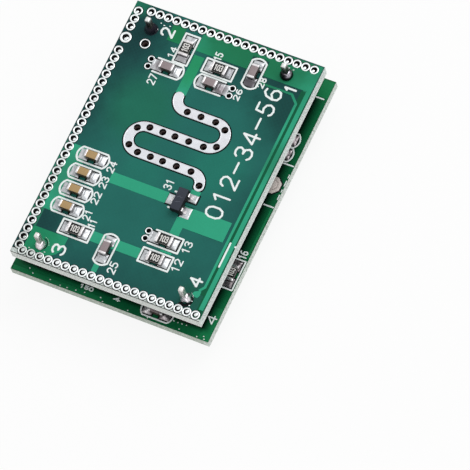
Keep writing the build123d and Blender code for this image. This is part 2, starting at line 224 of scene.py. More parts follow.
def add(tree, kind, inputs=None, output=0, **settings):
    """A node with its settings made and its inputs set or linked. Its output comes back as a signal."""
    node = tree.nodes.new(kind)
    for key, value in settings.items():
        setattr(node, key, value)
    for key, value in (inputs or {}).items():
        put(node.inputs[key], value)
    return Signal(node.outputs[output]) if node.outputs else None


def maths(operation, *values):
    return add(home(*values), "ShaderNodeMath", dict(enumerate(values)), operation=operation)


def tint(factor, first, second, mode="MIX"):
    """Two colours mixed by a factor."""
    inputs = {0: factor, 6: first, 7: second}
    return add(home(factor, first, second), "ShaderNodeMix", inputs, 2, data_type="RGBA", blend_type=mode)


def ramp(value, low, high, to_low=0.0, to_high=1.0, curve="LINEAR"):
    """A value stretched from one range to another and kept inside it."""
    inputs = {"Value": value, "From Min": low, "From Max": high, "To Min": to_low, "To Max": to_high}
    return add(home(value), "ShaderNodeMapRange", inputs, "Result", interpolation_type=curve)


def clouds(place, scale, detail=3.0, roughness=0.55, distortion=0.0):
    inputs = {"Vector": place, "Scale": scale, "Detail": detail, "Roughness": roughness}
    inputs["Distortion"] = distortion
    return add(home(place), "ShaderNodeTexNoise", inputs, "Fac")


def between(value, low, high, soft=0.05):
    """1 where a value lies between two limits, with soft ends."""
    return ramp(value, low - soft, low + soft) * ramp(value, high - soft, high + soft, 1.0, 0.0)


def split(vector):
    """The three parts of a vector."""
    node = add(home(vector), "ShaderNodeSeparateXYZ", {0: vector}).socket.node
    return [Signal(socket) for socket in node.outputs]


def title_of(name):
    return name.replace("_", " ").title()


KINDS = {Vector: "Vector", tuple: "Color", int: "Int", float: "Float"}


def kind_of(value):
    """Kind of a socket: a string names it outright, a signal has its own, and a value's type gives it."""
    if isinstance(value, Signal):
        return {"RGBA": "Color", "GEOMETRY": "Geometry"}.get(value.socket.type, "Float")
    return value if isinstance(value, str) else KINDS[type(value)]


GROUPS = {}


def group_of(build, family="Shader"):
    """A node group made on first use from a function, which takes its inputs and returns its outputs."""
    title = title_of(build.__name__)
    if title in GROUPS:
        return GROUPS[title]
    group = bpy.data.node_groups.new(title, family + "NodeTree")
    GROUPS[title] = group
    for name, parameter in inspect.signature(build).parameters.items():
        value, kind = parameter.default, kind_of(parameter.default)
        socket = group.interface.new_socket(title_of(name), in_out="INPUT", socket_type="NodeSocket" + kind)
        if not isinstance(value, str):
            socket.default_value = (*value, 1) if kind == "Color" else value
    given = group.nodes.new("NodeGroupInput").outputs[:-1]
    results = build(*(Signal(socket) for socket in given))
    for label, signal in results.items():
        group.interface.new_socket(label, in_out="OUTPUT", socket_type="NodeSocket" + kind_of(signal))
    outputs = group.nodes.new("NodeGroupOutput").inputs
    for label, signal in results.items():
        put(outputs[label], signal)
    return group


def use(build, **inputs):
    """A shared effect placed in a material. Its outputs come back by name."""
    node = home(*inputs.values()).nodes.new("ShaderNodeGroup")
    node.node_tree = group_of(build)
    for name, value in inputs.items():
        put(node.inputs[title_of(name)], value)
    return {socket.name: Signal(socket) for socket in node.outputs}


ORIGIN = Vector((0, 0, 0))
UPWARD = Vector((0, 0, 1))


def soft_spot(place=ORIGIN, centre=ORIGIN, radius=5.0, raggedness=0.3):
    """A soft round field, such as a stain or a darker patch of mask."""
    away = add(home(place), "ShaderNodeVectorMath", {0: place, 1: centre}, "Value", operation="DISTANCE")
    share = (clouds(place, 0.6, 2.0) - 0.5) * raggedness + away / radius
    return {"Mask": ramp(share, 0.35, 1.15, 1.0, 0.0, "SMOOTHSTEP")}


def mottle(place=ORIGIN, colour=(0.5, 0.5, 0.5), broad_size=0.35, fine_size=6.0, strength=0.2):
    """Uneven colour: broad clouds and fine grain that lighten and darken a colour."""
    fine = clouds(place, fine_size, 4.0, 0.65)
    swing = fine * 0.45 + clouds(place, broad_size, 2.0) * 0.55 - 0.5
    gain = maths("MAXIMUM", swing * strength + 1.0, 0.0)
    grey = add(home(place), "ShaderNodeCombineColor", {0: gain, 1: gain, 2: gain})
    return {"Colour": tint(1.0, colour, grey, "MULTIPLY"), "Height": fine}


def glass_weave(place=ORIGIN, pitch=0.5):
    """Glass cloth that shows faintly through the mask."""
    wobble = clouds(place, 0.8, 2.0) * 1.6
    turn = math.tau / pitch
    across, along = (maths("SINE", part * turn + wobble) for part in split(place)[:2])
    return {"Threads": ramp(across * along, -1.0, 1.0)}


def laminate_layers(place=ORIGIN, colour=(0.6, 0.6, 0.5), shade=(0.3, 0.3, 0.2), layer=0.2):
    """Cut edge of a laminate: layers of cloth, pale dust and dark pits."""
    ripple = clouds(place, 1.5, 3.0) * 2.5
    layers = maths("SINE", split(place)[2] * (math.tau / layer) + ripple)
    pits = ramp(clouds(place, 7.0, 4.0, 0.7), 0.42, 0.62)
    mixed = ramp(layers * 0.14 + pits * 0.75, -0.1, 0.85)
    return {"Colour": tint(mixed, shade, colour), "Height": mixed}


def tinning(
    place=ORIGIN, facing=UPWARD, bright=(0.8, 0.8, 0.8), dull=(0.4, 0.4, 0.4), steep=(0.1, 0.1, 0.1),
    streak_size=1.6, dullness=0.3, steep_shade=0.5, least_roughness=0.2,
):
    """Dipped tin or solder: bright, with duller streaks and small ripples, and darkened where it is steep as
    a painted reflection of dark surroundings.
    """
    drift = clouds(place, streak_size, 3.0, 0.5, 0.8)
    fine = clouds(place, 9.0, 3.0)
    # painted reflection: the steeper the surface, the more it takes the dark colour
    lean = ramp(abs(split(facing)[2]), 0.93, 0.35) * steep_shade
    streaked = tint(ramp(drift, 0.42, 0.72) * dullness, bright, dull)
    return {
        "Colour": tint(lean, streaked, steep), "Roughness": fine * 0.22 + least_roughness,
        "Height": drift * 0.7 + fine * 0.3,
    }


# Materials


def finish_named(name, roughness=0.5, metallic=0.0, specular=0.5):
    """A new material: its shader's inputs, and the place on the part in millimetres."""
    material = bpy.data.materials.new(name)
    material.use_nodes = True
    tree = material.node_tree
    shader = tree.nodes["Principled BSDF"].inputs
    put(shader["Roughness"], roughness)
    put(shader["Metallic"], metallic)
    put(shader["Specular IOR Level"], specular)
    spot = add(tree, "ShaderNodeTexCoord", output="Object")
    return material, shader, add(tree, "ShaderNodeMapping", {"Vector": spot, "Scale": (1 / MM,) * 3})


def facing_of(place):
    """The way a surface faces."""
    return add(home(place), "ShaderNodeTexCoord", output="Normal")


def relief(shader, height, strength, distance=0.02):
    """A bump from a height, in millimetres."""
    inputs = {"Height": height, "Strength": strength, "Distance": distance * MM}
    put(shader["Normal"], add(home(height), "ShaderNodeBump", inputs))


def darkened_below(place, colour):
    """A colour darkened as painted shadow where the lower board's upper face lies below the upper board."""
    half_x, half_y, middle_y, softness = 11.72, 15.55, -0.75, (0.45, 0.55, 0.25, 0.35)
    x, y, z = split(place)
    within_x = ramp(abs(x), half_x - softness[0], half_x + softness[1], 1.0, 0.0)
    within_y = ramp(abs(y - middle_y), half_y - softness[2], half_y + softness[3], 1.0, 0.0)
    return tint(within_x * within_y * (z > LOWER_FACE - 0.2), colour, paint(4, 26, 17))


def spotted(place, colour, spots, raggedness=0.3):
    """A colour with soft patches, each given by its middle's x, y and z, its radius, colour and share."""
    for x, y, z, radius, other, share in spots:
        patch = use(soft_spot, place=place, centre=(x, y, z), radius=radius, raggedness=raggedness)
        colour = tint(patch["Mask"] * share, colour, other)
    return colour


# width of the dark line along the strip of bare laminate, and where the cut edges of the boards begin
DARK_LINE = 0.09
RIGHT_EDGE, NEAR_EDGE = 11.95, -16.95


def board_finish(name, mask, laminate, spots, weave_pitch, weave_show, rim, below=False, fields=()):
    """Solder mask on a board's faces, and cut laminate on its edges and in its bare holes.

    rim is the height of the cut copper's line, the x beyond which it does not show, the y below which the
    mask stops short of the edge, and the height below which the cut edge is pale. fields are boxes on the
    face, as two limits in x, two in y and a colour.
    """
    line_height, line_end, border, pale_height = rim
    material, shader, place = finish_named(name, 0.38, specular=0.08)
    x, y, z = split(place)
    colour = spotted(place, mask, spots)
    for low_x, high_x, low_y, high_y, other in fields:
        colour = tint(between(x, low_x, high_x) * between(y, low_y, high_y) * 0.95, colour, other)
    mottled = use(mottle, place=place, colour=colour, strength=0.35)
    threads = use(glass_weave, place=place, pitch=weave_pitch)["Threads"]
    masked = tint(threads * weave_show, mottled["Colour"], tuple(min(1, 1.6 * c) for c in mask))
    # painted shadow where the upper board hangs over the lower board's face
    if below:
        masked = darkened_below(place, masked)
    shade = tuple(0.5 * c for c in laminate)
    edge = use(laminate_layers, place=place, colour=laminate, shade=shade, layer=0.21)
    # bare laminate below the mask's border, with a dark line where the mask ends
    masked = tint(y < border + DARK_LINE, masked, paint(40, 34, 26))
    masked = tint(y < border, masked, edge["Colour"])
    # cut copper shows as a dark line just below the face, except on the right-hand edge; it is widened with
    # painted shadow below the plated rings
    line = (z > line_height) * (x < line_end)
    cut = tint(line * 0.85, edge["Colour"], paint(48, 40, 30))
    cut = tint((z < pale_height) * 0.7, cut, paint(250, 252, 248))
    # the right-hand edges are whiter in ragged patches; the upper board's near edge is lighter as painted
    # light
    ragged = ramp(clouds(place, 3.4, 3.0, 0.7), 0.4, 0.56)
    cut = tint((x > RIGHT_EDGE) * ragged * 0.7, cut, paint(250, 255, 253))
    near = (z > LOWER_FACE + 1.5) * (y < NEAR_EDGE) * (1.0 - line)
    cut = tint(near * ramp(ragged, 0.0, 1.0, 0.3, 0.6), cut, paint(255, 255, 250))
    flat = abs(split(facing_of(place))[2]) > 0.5
    put(shader["Base Color"], tint(flat, cut, masked))
    put(shader["Roughness"], ramp(flat, 0.0, 1.0, 0.85, 0.36))
    face_height = threads * 0.25 + mottled["Height"] * 0.2
    relief(shader, add(home(place), "ShaderNodeMix", {0: flat, 2: edge["Height"], 3: face_height}), 0.5)
    return material


def mask_finish(name, colour, strength=0.3, spots=(), below=False):
    """Solder mask over copper, a stain or a painted shadow, with patches, and, if asked for, the painted
    shadow below the upper board.
    """
    material, shader, place = finish_named(name, 0.36, specular=0.08)
    colour = spotted(place, colour, spots)
    mottled = use(mottle, place=place, colour=colour, strength=strength, broad_size=0.3, fine_size=5.0)
    shade = mottled["Colour"]
    put(shader["Base Color"], darkened_below(place, shade) if below else shade)
    relief(shader, mottled["Height"], 0.25)
    return material


def metal_finish(
    name, bright, dull, dullness, streak_size=1.6, least=0.2, bump=0.35, steep=0.5, spots=(), foot=None
):
    """Tinned or soldered metal, darkened where it is steep as a painted reflection, with patches and, if
    asked for, a foot darkened as painted shade.
    """
    material, shader, place = finish_named(name, metallic=1.0)
    bright = spotted(place, bright, spots, 0.6)
    # painted shade: a pin's lower part darkened towards the board
    if foot:
        height = split(place)[2]
        bright = tint(ramp(height, *foot, 1.0, 0.0) * (height > LOWER_FACE), bright, paint(62, 56, 58))
    tinned = use(
        tinning, place=place, facing=facing_of(place), bright=bright, dull=dull, dullness=dullness,
        steep=tuple(0.2 * c for c in dull), steep_shade=steep, streak_size=streak_size, least_roughness=least,
    )
    put(shader["Base Color"], tinned["Colour"])
    put(shader["Roughness"], tinned["Roughness"])
    relief(shader, tinned["Height"], bump, 0.03)
    return material


def wall_finish(name, deep, near):
    """Wall of a plated hole, painted dark as shade inside the hole: one colour next to the upper board's face
    and another further down.
    """
    material, shader, place = finish_named(name, 0.6, specular=0.15)
    mottled = use(mottle, place=place, colour=deep, strength=0.8, broad_size=0.8, fine_size=6.0)
    height = split(place)[2]
    upper = ramp(height, UPPER_FACE - 0.45, UPPER_FACE - 0.2)
    lower = ramp(height, UPPER_FACE - 1.45, UPPER_FACE - 1.2, 1.0, 0.0) * (height > LOWER_FACE + 0.5)
    put(shader["Base Color"], tint(maths("MAXIMUM", upper, lower), mottled["Colour"], near))
    relief(shader, mottled["Height"], 0.3)
    return material


def solid_finish(
    name, colour, roughness, strength=0.25, fine=7.0, broad=0.8, specular=0.4, bump=0.3, sides=None
):
    """Plastic, ceramic or ink with uneven colour and a fine grain, and with painted shade on the sides where
    a side colour is given.
    """
    material, shader, place = finish_named(name, roughness, specular=specular)
    mottled = use(mottle, place=place, colour=colour, strength=strength, broad_size=broad, fine_size=fine)
    shade = mottled["Colour"]
    # painted shade: faces that lean away from upward take the side colour
    if sides:
        shade = tint(ramp(split(facing_of(place))[2], 0.75, 0.3), shade, sides)
    put(shader["Base Color"], shade)
    put(shader["Roughness"], ramp(mottled["Height"], 0.2, 0.8, roughness - 0.08, roughness + 0.1))
    relief(shader, mottled["Height"], bump)
    return material


def board_finishes(boards):
    """The boards' finishes by plain name: what makes each and what that takes."""
    mask, dark, green, laminate = (
        tuple(shade) for shade in (
            boards.upper_mask, boards.upper_mask_dark, boards.upper_mask_green, boards.laminate
        )
    )
    copper, lower_mask, lower_copper = (
        tuple(shade) for shade in (boards.upper_copper, boards.lower_mask, boards.lower_copper)
    )
    return {
        "antenna board": (
            board_finish, "Antenna board mask", mask, laminate,
            # the mask is lighter and greener in the middle and darker towards the edges: partly the copper
            # below it, partly painted light and shade
            [(-6, 5, 9, 5.5, green, 0.85), (6, 0.5, 9, 4.5, paint(36, 122, 105), 0.8),
             (-2, -2.5, 9, 3.2, paint(36, 118, 103), 0.7), (15, -3, 9, 8.5, paint(30, 84, 80), 0.95),
             (12.5, 11, 9, 7.5, paint(23, 68, 65), 0.95), (4, 17.5, 9, 8.5, dark, 0.9),
             (-13.5, 13, 9, 9.5, dark, 1.0), (-15, 2, 9, 7.5, dark, 0.85), (-12, -13, 9, 6.5, dark, 0.9),
             (-2, -20, 9, 9.0, paint(27, 78, 76), 0.9), (8, -19, 9, 9.5, paint(29, 83, 78), 0.9),
             (-11.5, 16.5, 9, 1.8, green, 1.0), (10.2, -14.3, 9, 2.2, paint(28, 92, 72), 0.7)],
            0.55, 0.05, (UPPER_FACE - 0.24, 11.99, -16.5, UPPER_BACK + 0.2), False,
            [(-2.9, 11.9, 15.3, 16.88, paint(38, 122, 84)), (-6.67, -5.03, 15.3, 16.3, paint(33, 118, 80)),
             (-11.9, -10.6, -13.1, -2.2, paint(46, 126, 96)), (10.9, 11.9, 12.9, 16.88, paint(44, 132, 98))],
        ),
        "control board": (
            board_finish, "Control board mask", lower_mask, paint(228, 238, 226),
            # lighter patches at the far right corner and along the near rim: painted light where the rim lies
            # clear of the upper board
            [(12.3, 16.5, 4.5, 2.2, paint(34, 112, 70), 0.9), (11.5, -16.0, 4.5, 4.5, lower_copper, 0.6),
             (-6.0, -17.3, 4.5, 6.0, lower_copper, 0.5)],
            0.6, 0.04, (LOWER_FACE - 0.05, 0.0, -18.0, LOWER_BACK), True,
        ),
        "antenna copper": (
            mask_finish, "Antenna mask over copper", copper, 0.3,
            [(4, 18, 9, 11.0, paint(30, 116, 78), 0.95), (-10, -15, 9, 5.0, paint(30, 134, 92), 0.9),
             (-9.5, -6, 9, 4.0, paint(50, 136, 106), 0.7), (-6, 15, 9, 3.2, paint(31, 126, 80), 1.0),
             (-2.2, 11.4, 9, 3.0, paint(38, 148, 98), 0.8), (11.8, 4, 9, 3.0, paint(40, 126, 94), 0.6)],
        ),
        "border mask": (mask_finish, "Antenna mask at the border", paint(16, 90, 62)),
        "control copper": (mask_finish, "Control mask over copper", lower_copper, 0.3, (), True),
        "clearing": (solid_finish, "Cleared mask", paint(12, 28, 26), 0.6, 0.25, 7.0, 0.8, 0.1),
        "flux": (
            mask_finish, "Burnt flux", paint(29, 50, 55), 0.3,
            [(-8.62, 14.2, 9.4, 0.95, paint(35, 32, 42), 1.0)],
        ),
        # a black sheet drawn round pin 4: painted shadow
        "pin shadow paint": (mask_finish, "Black flux", paint(16, 18, 20), 0.8),
    }


def metal_finishes(metal):
    """The metals' finishes and the holes' walls by plain name: what makes each and what that takes."""
    dull, pin_dull = tuple(metal.tin_dull), paint(170, 162, 156)
    return {
        "tin": (metal_finish, "Tinned copper", tuple(metal.tin), dull, 0.35, 1.3, 0.3, 0.25),
        "ring tin": (
            metal_finish, "Ring tin", paint(240, 246, 246), dull, 0.4, 2.2, 0.25, 0.35, 0.12,
            [(-11.2, -16.6, 9, 4.2, paint(196, 204, 200), 0.9),
             (-11.3, -8, 9, 4.5, paint(214, 222, 219), 0.8)],
        ),
        "pad tin": (
            metal_finish, "Pad solder", paint(202, 205, 208), paint(110, 108, 112), 0.6, 1.9, 0.28, 0.6, 0.6,
            [(1.9, 10.1, 9, 0.9, paint(112, 104, 108), 0.9), (4.7, 11.9, 9, 1.1, paint(94, 90, 96), 1.0),
             (-3.95, 12.2, 9, 0.9, paint(150, 148, 152), 0.8),
             (-5.9, 10.3, 9, 0.8, paint(150, 142, 146), 0.8),
             (2.1, 12.35, 9, 1.1, paint(122, 124, 128), 0.9)],
        ),
        # painted shade: the control board's pad solder is dark all over, with two painted glints near its
        # front edge
        "lower pad tin": (
            metal_finish, "Shaded pad solder", paint(168, 160, 163), paint(40, 36, 38),
            0.95, 1.8, 0.3, 0.6, 0.6,
            [(4.6, -16.4, 4.6, 0.9, paint(250, 246, 248), 1.0),
             (6.9, -16.3, 4.6, 0.6, paint(236, 230, 232), 0.8)],
        ),
        "dull solder": (solid_finish, "Dull solder", paint(226, 214, 208), 0.5, 0.5, 3.0, 0.8, 0.4, 0.5),
        # the holes' walls and mouths are painted dark: painted shade inside the holes
        "barrel": (wall_finish, "Hole wall", paint(120, 104, 102), paint(8, 7, 7)),
        "dark barrel": (wall_finish, "Dark hole wall", paint(20, 17, 18), paint(6, 5, 5)),
        "mouth": (solid_finish, "Hole mouth", paint(10, 8, 8), 0.7, 0.3, 7.0, 0.8, 0.1),
        "solder bright": (
            metal_finish, "Bright solder", paint(252, 242, 247), paint(176, 164, 172),
            0.6, 1.5, 0.26, 0.8, 0.12
        ),
        # pin 1's solder: dark all over as a painted reflection of dark surroundings, with a painted highlight
        # spot near its top
        "solder dark": (
            metal_finish, "Dark solder", tuple(metal.solder_dark), paint(16, 16, 20), 1.0, 1.2, 0.1, 1.0, 0.5,
            [(8.6, 14.4, 9.6, 0.5, paint(240, 234, 246), 1.0)],
        ),
        "solder faceted": (
            metal_finish, "Faceted solder", paint(244, 238, 242), paint(120, 112, 118),
            0.8, 2.6, 0.22, 1.0, 0.2,
            # painted shadow: a black spot on the right of pin 4's cone
            [(9.62, -14.7, 9.5, 0.26, paint(14, 12, 14), 1.0)],
        ),
        # painted shade: the lower part of pins 1 and 2 darkens towards the board
        "pin": (
            metal_finish, "Tinned pin", paint(236, 240, 238), pin_dull, 0.6, 1.2, 0.3, 0.35, 0.5, (),
            (10.9, 11.45)
        ),
        "bright pin": (metal_finish, "Bright pin", paint(238, 238, 234), pin_dull, 0.6, 1.2, 0.3, 0.35, 0.35),
        "end cap": (
            metal_finish, "Chip end", paint(234, 231, 233), paint(150, 144, 146), 0.7, 2.4, 0.24, 0.6
        ),
    }


def part_finishes(parts, ink):
    """The fitted parts' finishes and the ink by plain name: what makes each and what that takes."""
    rows = {
        "ink": ("White ink", ink.ink, 0.6, 0.14, 9.0, 0.8, 0.3, 0.4),
        "chip ink": ("Chip number ink", paint(232, 230, 226), 0.55, 0.2, 12.0),
        # the last colour given for tan, brown, alumina and epoxy is painted shade on their sides
        "tan": ("Tan ceramic", parts.tan, 0.45, 0.5, 8.0, 1.1, 0.4, 0.3, paint(52, 42, 22)),
        "brown": ("Brown ceramic", parts.brown, 0.45, 0.5, 8.0, 1.1, 0.4, 0.3, paint(48, 40, 36)),
        "glaze": ("Resistor glaze", parts.glaze, 0.3, 0.4, 10.0, 0.8, 0.3),
        "alumina": ("Alumina", parts.alumina, 0.6, 0.3, 9.0, 0.8, 0.4, 0.3, paint(36, 32, 30)),
        "epoxy": ("Package epoxy", parts.epoxy, 0.62, 0.9, 11.0, 0.8, 0.2, 0.8, paint(18, 18, 22)),
        "faint mark": ("Faint laser mark", paint(84, 88, 100), 0.6, 0.3, 12.0),
        "nylon": ("Socket nylon", parts.nylon, 0.36, 0.12, 4.0, 0.3),
        "collar": ("Collar plastic", parts.collar, 0.4, 0.4, 8.0, 0.8, 0.3),
    }
    return {
        plain: (solid_finish, name, tuple(shade), *rest) for plain, (name, shade, *rest) in rows.items()
    }


FINISHES = {}


def finish_of(name):
    """A material by its plain name, made on first use from the choices in the sidebar."""
    if name not in FINISHES:
        scene = bpy.context.scene
        rows = board_finishes(scene.radar_boards) | metal_finishes(scene.radar_metal)
        rows |= part_finishes(scene.radar_parts, scene.radar_ink)
        make, *settings = rows[name]
        FINISHES[name] = make(*settings)
    return FINISHES[name]


# Meshes


def add_piece(name, mesh, slot, replaced=(), finishes=()):
    """Link a mesh at the origin, let it ride on the module, and hide the nodes it replaces. Its slot is not
    used.
    """
    for finish in finishes:
        mesh.materials.append(finish_of(finish))
    piece = bpy.data.objects.new(name, mesh)
    bpy.context.scene.collection.objects.link(piece)
    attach(piece, BODY)
    if replaced:
        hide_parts(*replaced)
    return piece


def to_mesh(work, name, smooth=True):
    """Turn a working mesh in millimetres into a plain one in metres."""
    bmesh.ops.scale(work, vec=(MM, MM, MM), verts=work.verts)
    mesh = bpy.data.meshes.new(name)
    work.to_mesh(mesh)
    work.free()
    if smooth:
        mesh.shade_smooth()
    return mesh


def bare_copy(node):
    """A CAD node's triangles in millimetres, with doubles merged."""
    work = bmesh.new()
    work.from_mesh(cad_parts[node].data)
    bmesh.ops.scale(work, vec=(1 / MM,) * 3, verts=work.verts)
    bmesh.ops.remove_doubles(work, verts=work.verts, dist=0.001)
    return work


def cad_copy(node):
    """A CAD node in millimetres, with its flat faces made whole."""
    work = bare_copy(node)
    bmesh.ops.dissolve_limit(
        work, angle_limit=math.radians(1), use_dissolve_boundaries=False, verts=work.verts,
        edges=work.edges, delimit={"NORMAL"},
    )
    return work


def bevelled(work, edges, offset, segments=3):
    """Round some edges of a working mesh."""
    bmesh.ops.bevel(
        work, geom=edges, offset=offset, segments=segments, profile=0.5, affect="EDGES", clamp_overlap=True
    )


# least angle between two faces, in radians, at which the edge between them is rounded
SHARP_EDGE = 0.3


def softened_copy(node, offset):
    """A CAD node in millimetres with its sharp edges rounded."""
    work = cad_copy(node)
    sharp = [e for e in work.edges if len(e.link_faces) == 2 and e.calc_face_angle() > SHARP_EDGE]
    bevelled(work, sharp, offset)
    return work


def repaint(node, finish):
    """Give a CAD node that stays in sight a finish of its own."""
    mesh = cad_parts[node].data
    mesh.materials.clear()
    mesh.materials.append(finish_of(finish))


def solids_of(node):
    """Lowest and highest corner of each separate solid in a CAD node, in millimetres."""
    work = bare_copy(node)
    boxes, seen = [], set()
    for start in work.verts:
        if start in seen:
            continue
        seen.add(start)
        waiting, found = [start], []
        while waiting:
            vertex = waiting.pop()
            found.append(vertex.co)
            fresh = {edge.other_vert(vertex) for edge in vertex.link_edges} - seen
            seen |= fresh
            waiting += fresh
        corners = ([pick(place[axis] for place in found) for axis in range(3)] for pick in (min, max))
        boxes.append(tuple(Vector(corner) for corner in corners))
    work.free()
    return boxes


def middles_of(boxes):
    """Middles of boxes, seen from above."""
    return [((low + high) / 2).xy for low, high in boxes]


def join_into(work, other, finish):
    """Add a small working mesh to a larger one, all of it with one material place."""
    for face in other.faces:
        face.material_index = finish
    mesh = bpy.data.meshes.new("part")
    other.to_mesh(mesh)
    other.free()
    work.from_mesh(mesh)
    bpy.data.meshes.remove(mesh)


def rounded_block(work, low, high, radius, finish=0, segments=3, turn=None):
    """A block with rounded edges, between two corners."""
    part = bmesh.new()
    bmesh.ops.create_cube(part, size=1)
    low, high = Vector(low), Vector(high)
    bmesh.ops.scale(part, vec=high - low, verts=part.verts)
    bmesh.ops.translate(part, vec=(low + high) / 2, verts=part.verts)
    bevelled(part, part.edges[:], radius, segments)
    if turn is not None:
        bmesh.ops.transform(part, matrix=turn, verts=part.verts)
    join_into(work, part, finish)


def bridge(part, first, second):
    """Four-sided faces between two closed rings of vertices."""
    for i in range(len(first)):
        j = (i + 1) % len(first)
        part.faces.new((first[i], first[j], second[j], second[i]))


def ring_of(part, points, height):
    return [part.verts.new((x, y, height)) for x, y in points]


def plate(work, outline, low, high, soften, finish=0):
    """A flat plate of any outline whose upper rim is softened."""
    part = bmesh.new()
    following = outline[1:] + outline[:1]
    if sum(here[0] * onward[1] - onward[0] * here[1] for here, onward in zip(outline, following)) < 0:
        outline = outline[::-1]
    under, over = ring_of(part, outline, low), ring_of(part, outline, high)
    lid = part.faces.new(over)
    part.faces.new(under[::-1])
    bridge(part, under, over)
    bevelled(part, lid.edges[:], soften, 2)
    bmesh.ops.recalc_face_normals(part, faces=part.faces)
    join_into(work, part, finish)


# how fast the unevenness of a turned form changes around it
LUMP_PITCH = 1.3


def lathe(work, centre, base, profile, finish, up=1, seed=0, unevenness=0.0, around=28):
    """A turned form from (radius, height) pairs, closed on the axis at both ends, slightly uneven."""
    part = bmesh.new()
    rings = []
    for radius, height in profile:
        points = []
        for step in range(around):
            across, along = math.cos(math.tau * step / around), math.sin(math.tau * step / around)
            swell = 1 + unevenness * noise.noise((across * LUMP_PITCH, along * LUMP_PITCH, seed + height))
            points.append((centre[0] + radius * swell * across, centre[1] + radius * swell * along))
        rings.append(ring_of(part, points, base + up * height))
    for lower, upper in zip(rings, rings[1:]):
        bridge(part, lower, upper)
    for ring, height, order in ((rings[0], profile[0][1], -1), (rings[-1], profile[-1][1], 1)):
        pole = part.verts.new((centre[0], centre[1], base + up * height))
        for i in range(around):
            part.faces.new((ring[i], ring[(i + 1) % around], pole)[::order])
    if up < 0:
        bmesh.ops.reverse_faces(part, faces=part.faces)
    join_into(work, part, finish)


def grown(build, mesh, **values):
    """Run a geometry tree on a mesh and return what it makes as a plain mesh."""
    carrier = bpy.data.objects.new("carrier", mesh)
    bpy.context.scene.collection.objects.link(carrier)
    modifier = carrier.modifiers.new("Growth", "NODES")
    modifier.node_group = group_of(build, "Geometry")
    given = {title_of(name): value for name, value in values.items()}
    for item in modifier.node_group.interface.items_tree:
        if item.item_type == "SOCKET" and item.in_out == "INPUT" and item.name in given:
            modifier[item.identifier] = given[item.name]
    shown = carrier.evaluated_get(bpy.context.evaluated_depsgraph_get())
    result = bpy.data.meshes.new_from_object(shown)
    carrier.modifiers.remove(modifier)
    bpy.data.objects.remove(carrier)
    return result


def points_mesh(places):
    mesh = bpy.data.meshes.new("places")
    mesh.from_pydata([Vector(place) * MM for place in places], [], [])
    return mesh


def strokes_mesh(lines, height):
    """Loose edges for the strokes: every run between two points is an edge of its own."""
    points, edges = [], []
    for line in lines:
        for start, end in zip(line, line[1:]):
            edges.append((len(points), len(points) + 1))
            points += [(x * MM, y * MM, height * MM) for x, y in (start, end)]
    mesh = bpy.data.meshes.new("strokes")
    mesh.from_pydata(points, edges, [])
    return mesh


# Geometry trees for what repeats


def scaled(geometry, x, y, z, raised=None):
    """Geometry scaled along each axis, and lifted."""
    tree = home(geometry)
    inputs = {"Geometry": geometry, "Scale": add(tree, "ShaderNodeCombineXYZ", {0: x, 1: y, 2: z})}
    if raised is not None:
        inputs["Translation"] = add(tree, "ShaderNodeCombineXYZ", {2: raised})
    return add(tree, "GeometryNodeTransform", inputs)


def finished(geometry, finish):
    smooth = add(home(geometry), "GeometryNodeSetShadeSmooth", {"Geometry": geometry})
    return add(home(geometry), "GeometryNodeSetMaterial", {"Geometry": smooth, "Material": finish})


def joined(*parts):
    node = home(*parts).nodes.new("GeometryNodeJoinGeometry")
    for part in parts:
        put(node.inputs[0], part)
    return Signal(node.outputs[0])


def circle(tree, points, radius):
    return add(tree, "GeometryNodeCurvePrimitiveCircle", {"Resolution": points, "Radius": radius})


def swept(path, profile):
    return add(home(path), "GeometryNodeCurveToMesh", {"Curve": path, "Profile Curve": profile})


def band(tree, segments, radius, width, height):
    """A band of rectangular section round a circle."""
    section = add(tree, "GeometryNodeCurvePrimitiveQuadrilateral", {"Width": width, "Height": height})
    return swept(circle(tree, segments, radius), section)


def printed_strokes(
    geometry="Geometry", width=0.22 * MM, height=0.05 * MM, unevenness=0.01 * MM, finish="Material"
):
    """Ink or tin strokes: a low rounded bar along every edge and a low dome on every point."""
    tree = home(geometry)
    half_width, half_height = width * 0.5, height * 0.5
    runs = add(tree, "GeometryNodeMeshToCurve", {"Mesh": geometry})
    runs = add(tree, "GeometryNodeSetCurveNormal", {"Curve": runs}, mode="Z_UP")
    ring = scaled(circle(tree, 8, 1.0), half_width, half_height, 1.0)
    bars = add(tree, "GeometryNodeCurveToMesh", {"Curve": runs, "Profile Curve": ring, "Fill Caps": True})
    dome = add(tree, "GeometryNodeMeshUVSphere", {"Segments": 10, "Rings": 4, "Radius": 1.0})
    dome = scaled(dome, half_width, half_width, half_height)
    corners = add(tree, "GeometryNodeMergeByDistance", {"Geometry": geometry, "Distance": 0.002 * MM})
    domes = add(tree, "GeometryNodeInstanceOnPoints", {"Points": corners, "Instance": dome})
    real = add(tree, "GeometryNodeRealizeInstances", {"Geometry": joined(domes, bars)})
    place = add(tree, "GeometryNodeInputPosition")
    ragged = add(tree, "ShaderNodeTexNoise", {"Vector": place, "Scale": 4200.0, "Detail": 1.0}, "Color")
    centred = add(tree, "ShaderNodeVectorMath", {0: ragged, 1: (0.5, 0.5, 0.5)}, operation="SUBTRACT")
    spread = add(tree, "ShaderNodeCombineXYZ", {0: unevenness, 1: unevenness})
    shift = add(tree, "ShaderNodeVectorMath", {0: centred, 1: spread}, operation="MULTIPLY")
    moved = add(tree, "GeometryNodeSetPosition", {"Geometry": real, "Offset": shift})
    return {"Geometry": finished(moved, finish)}


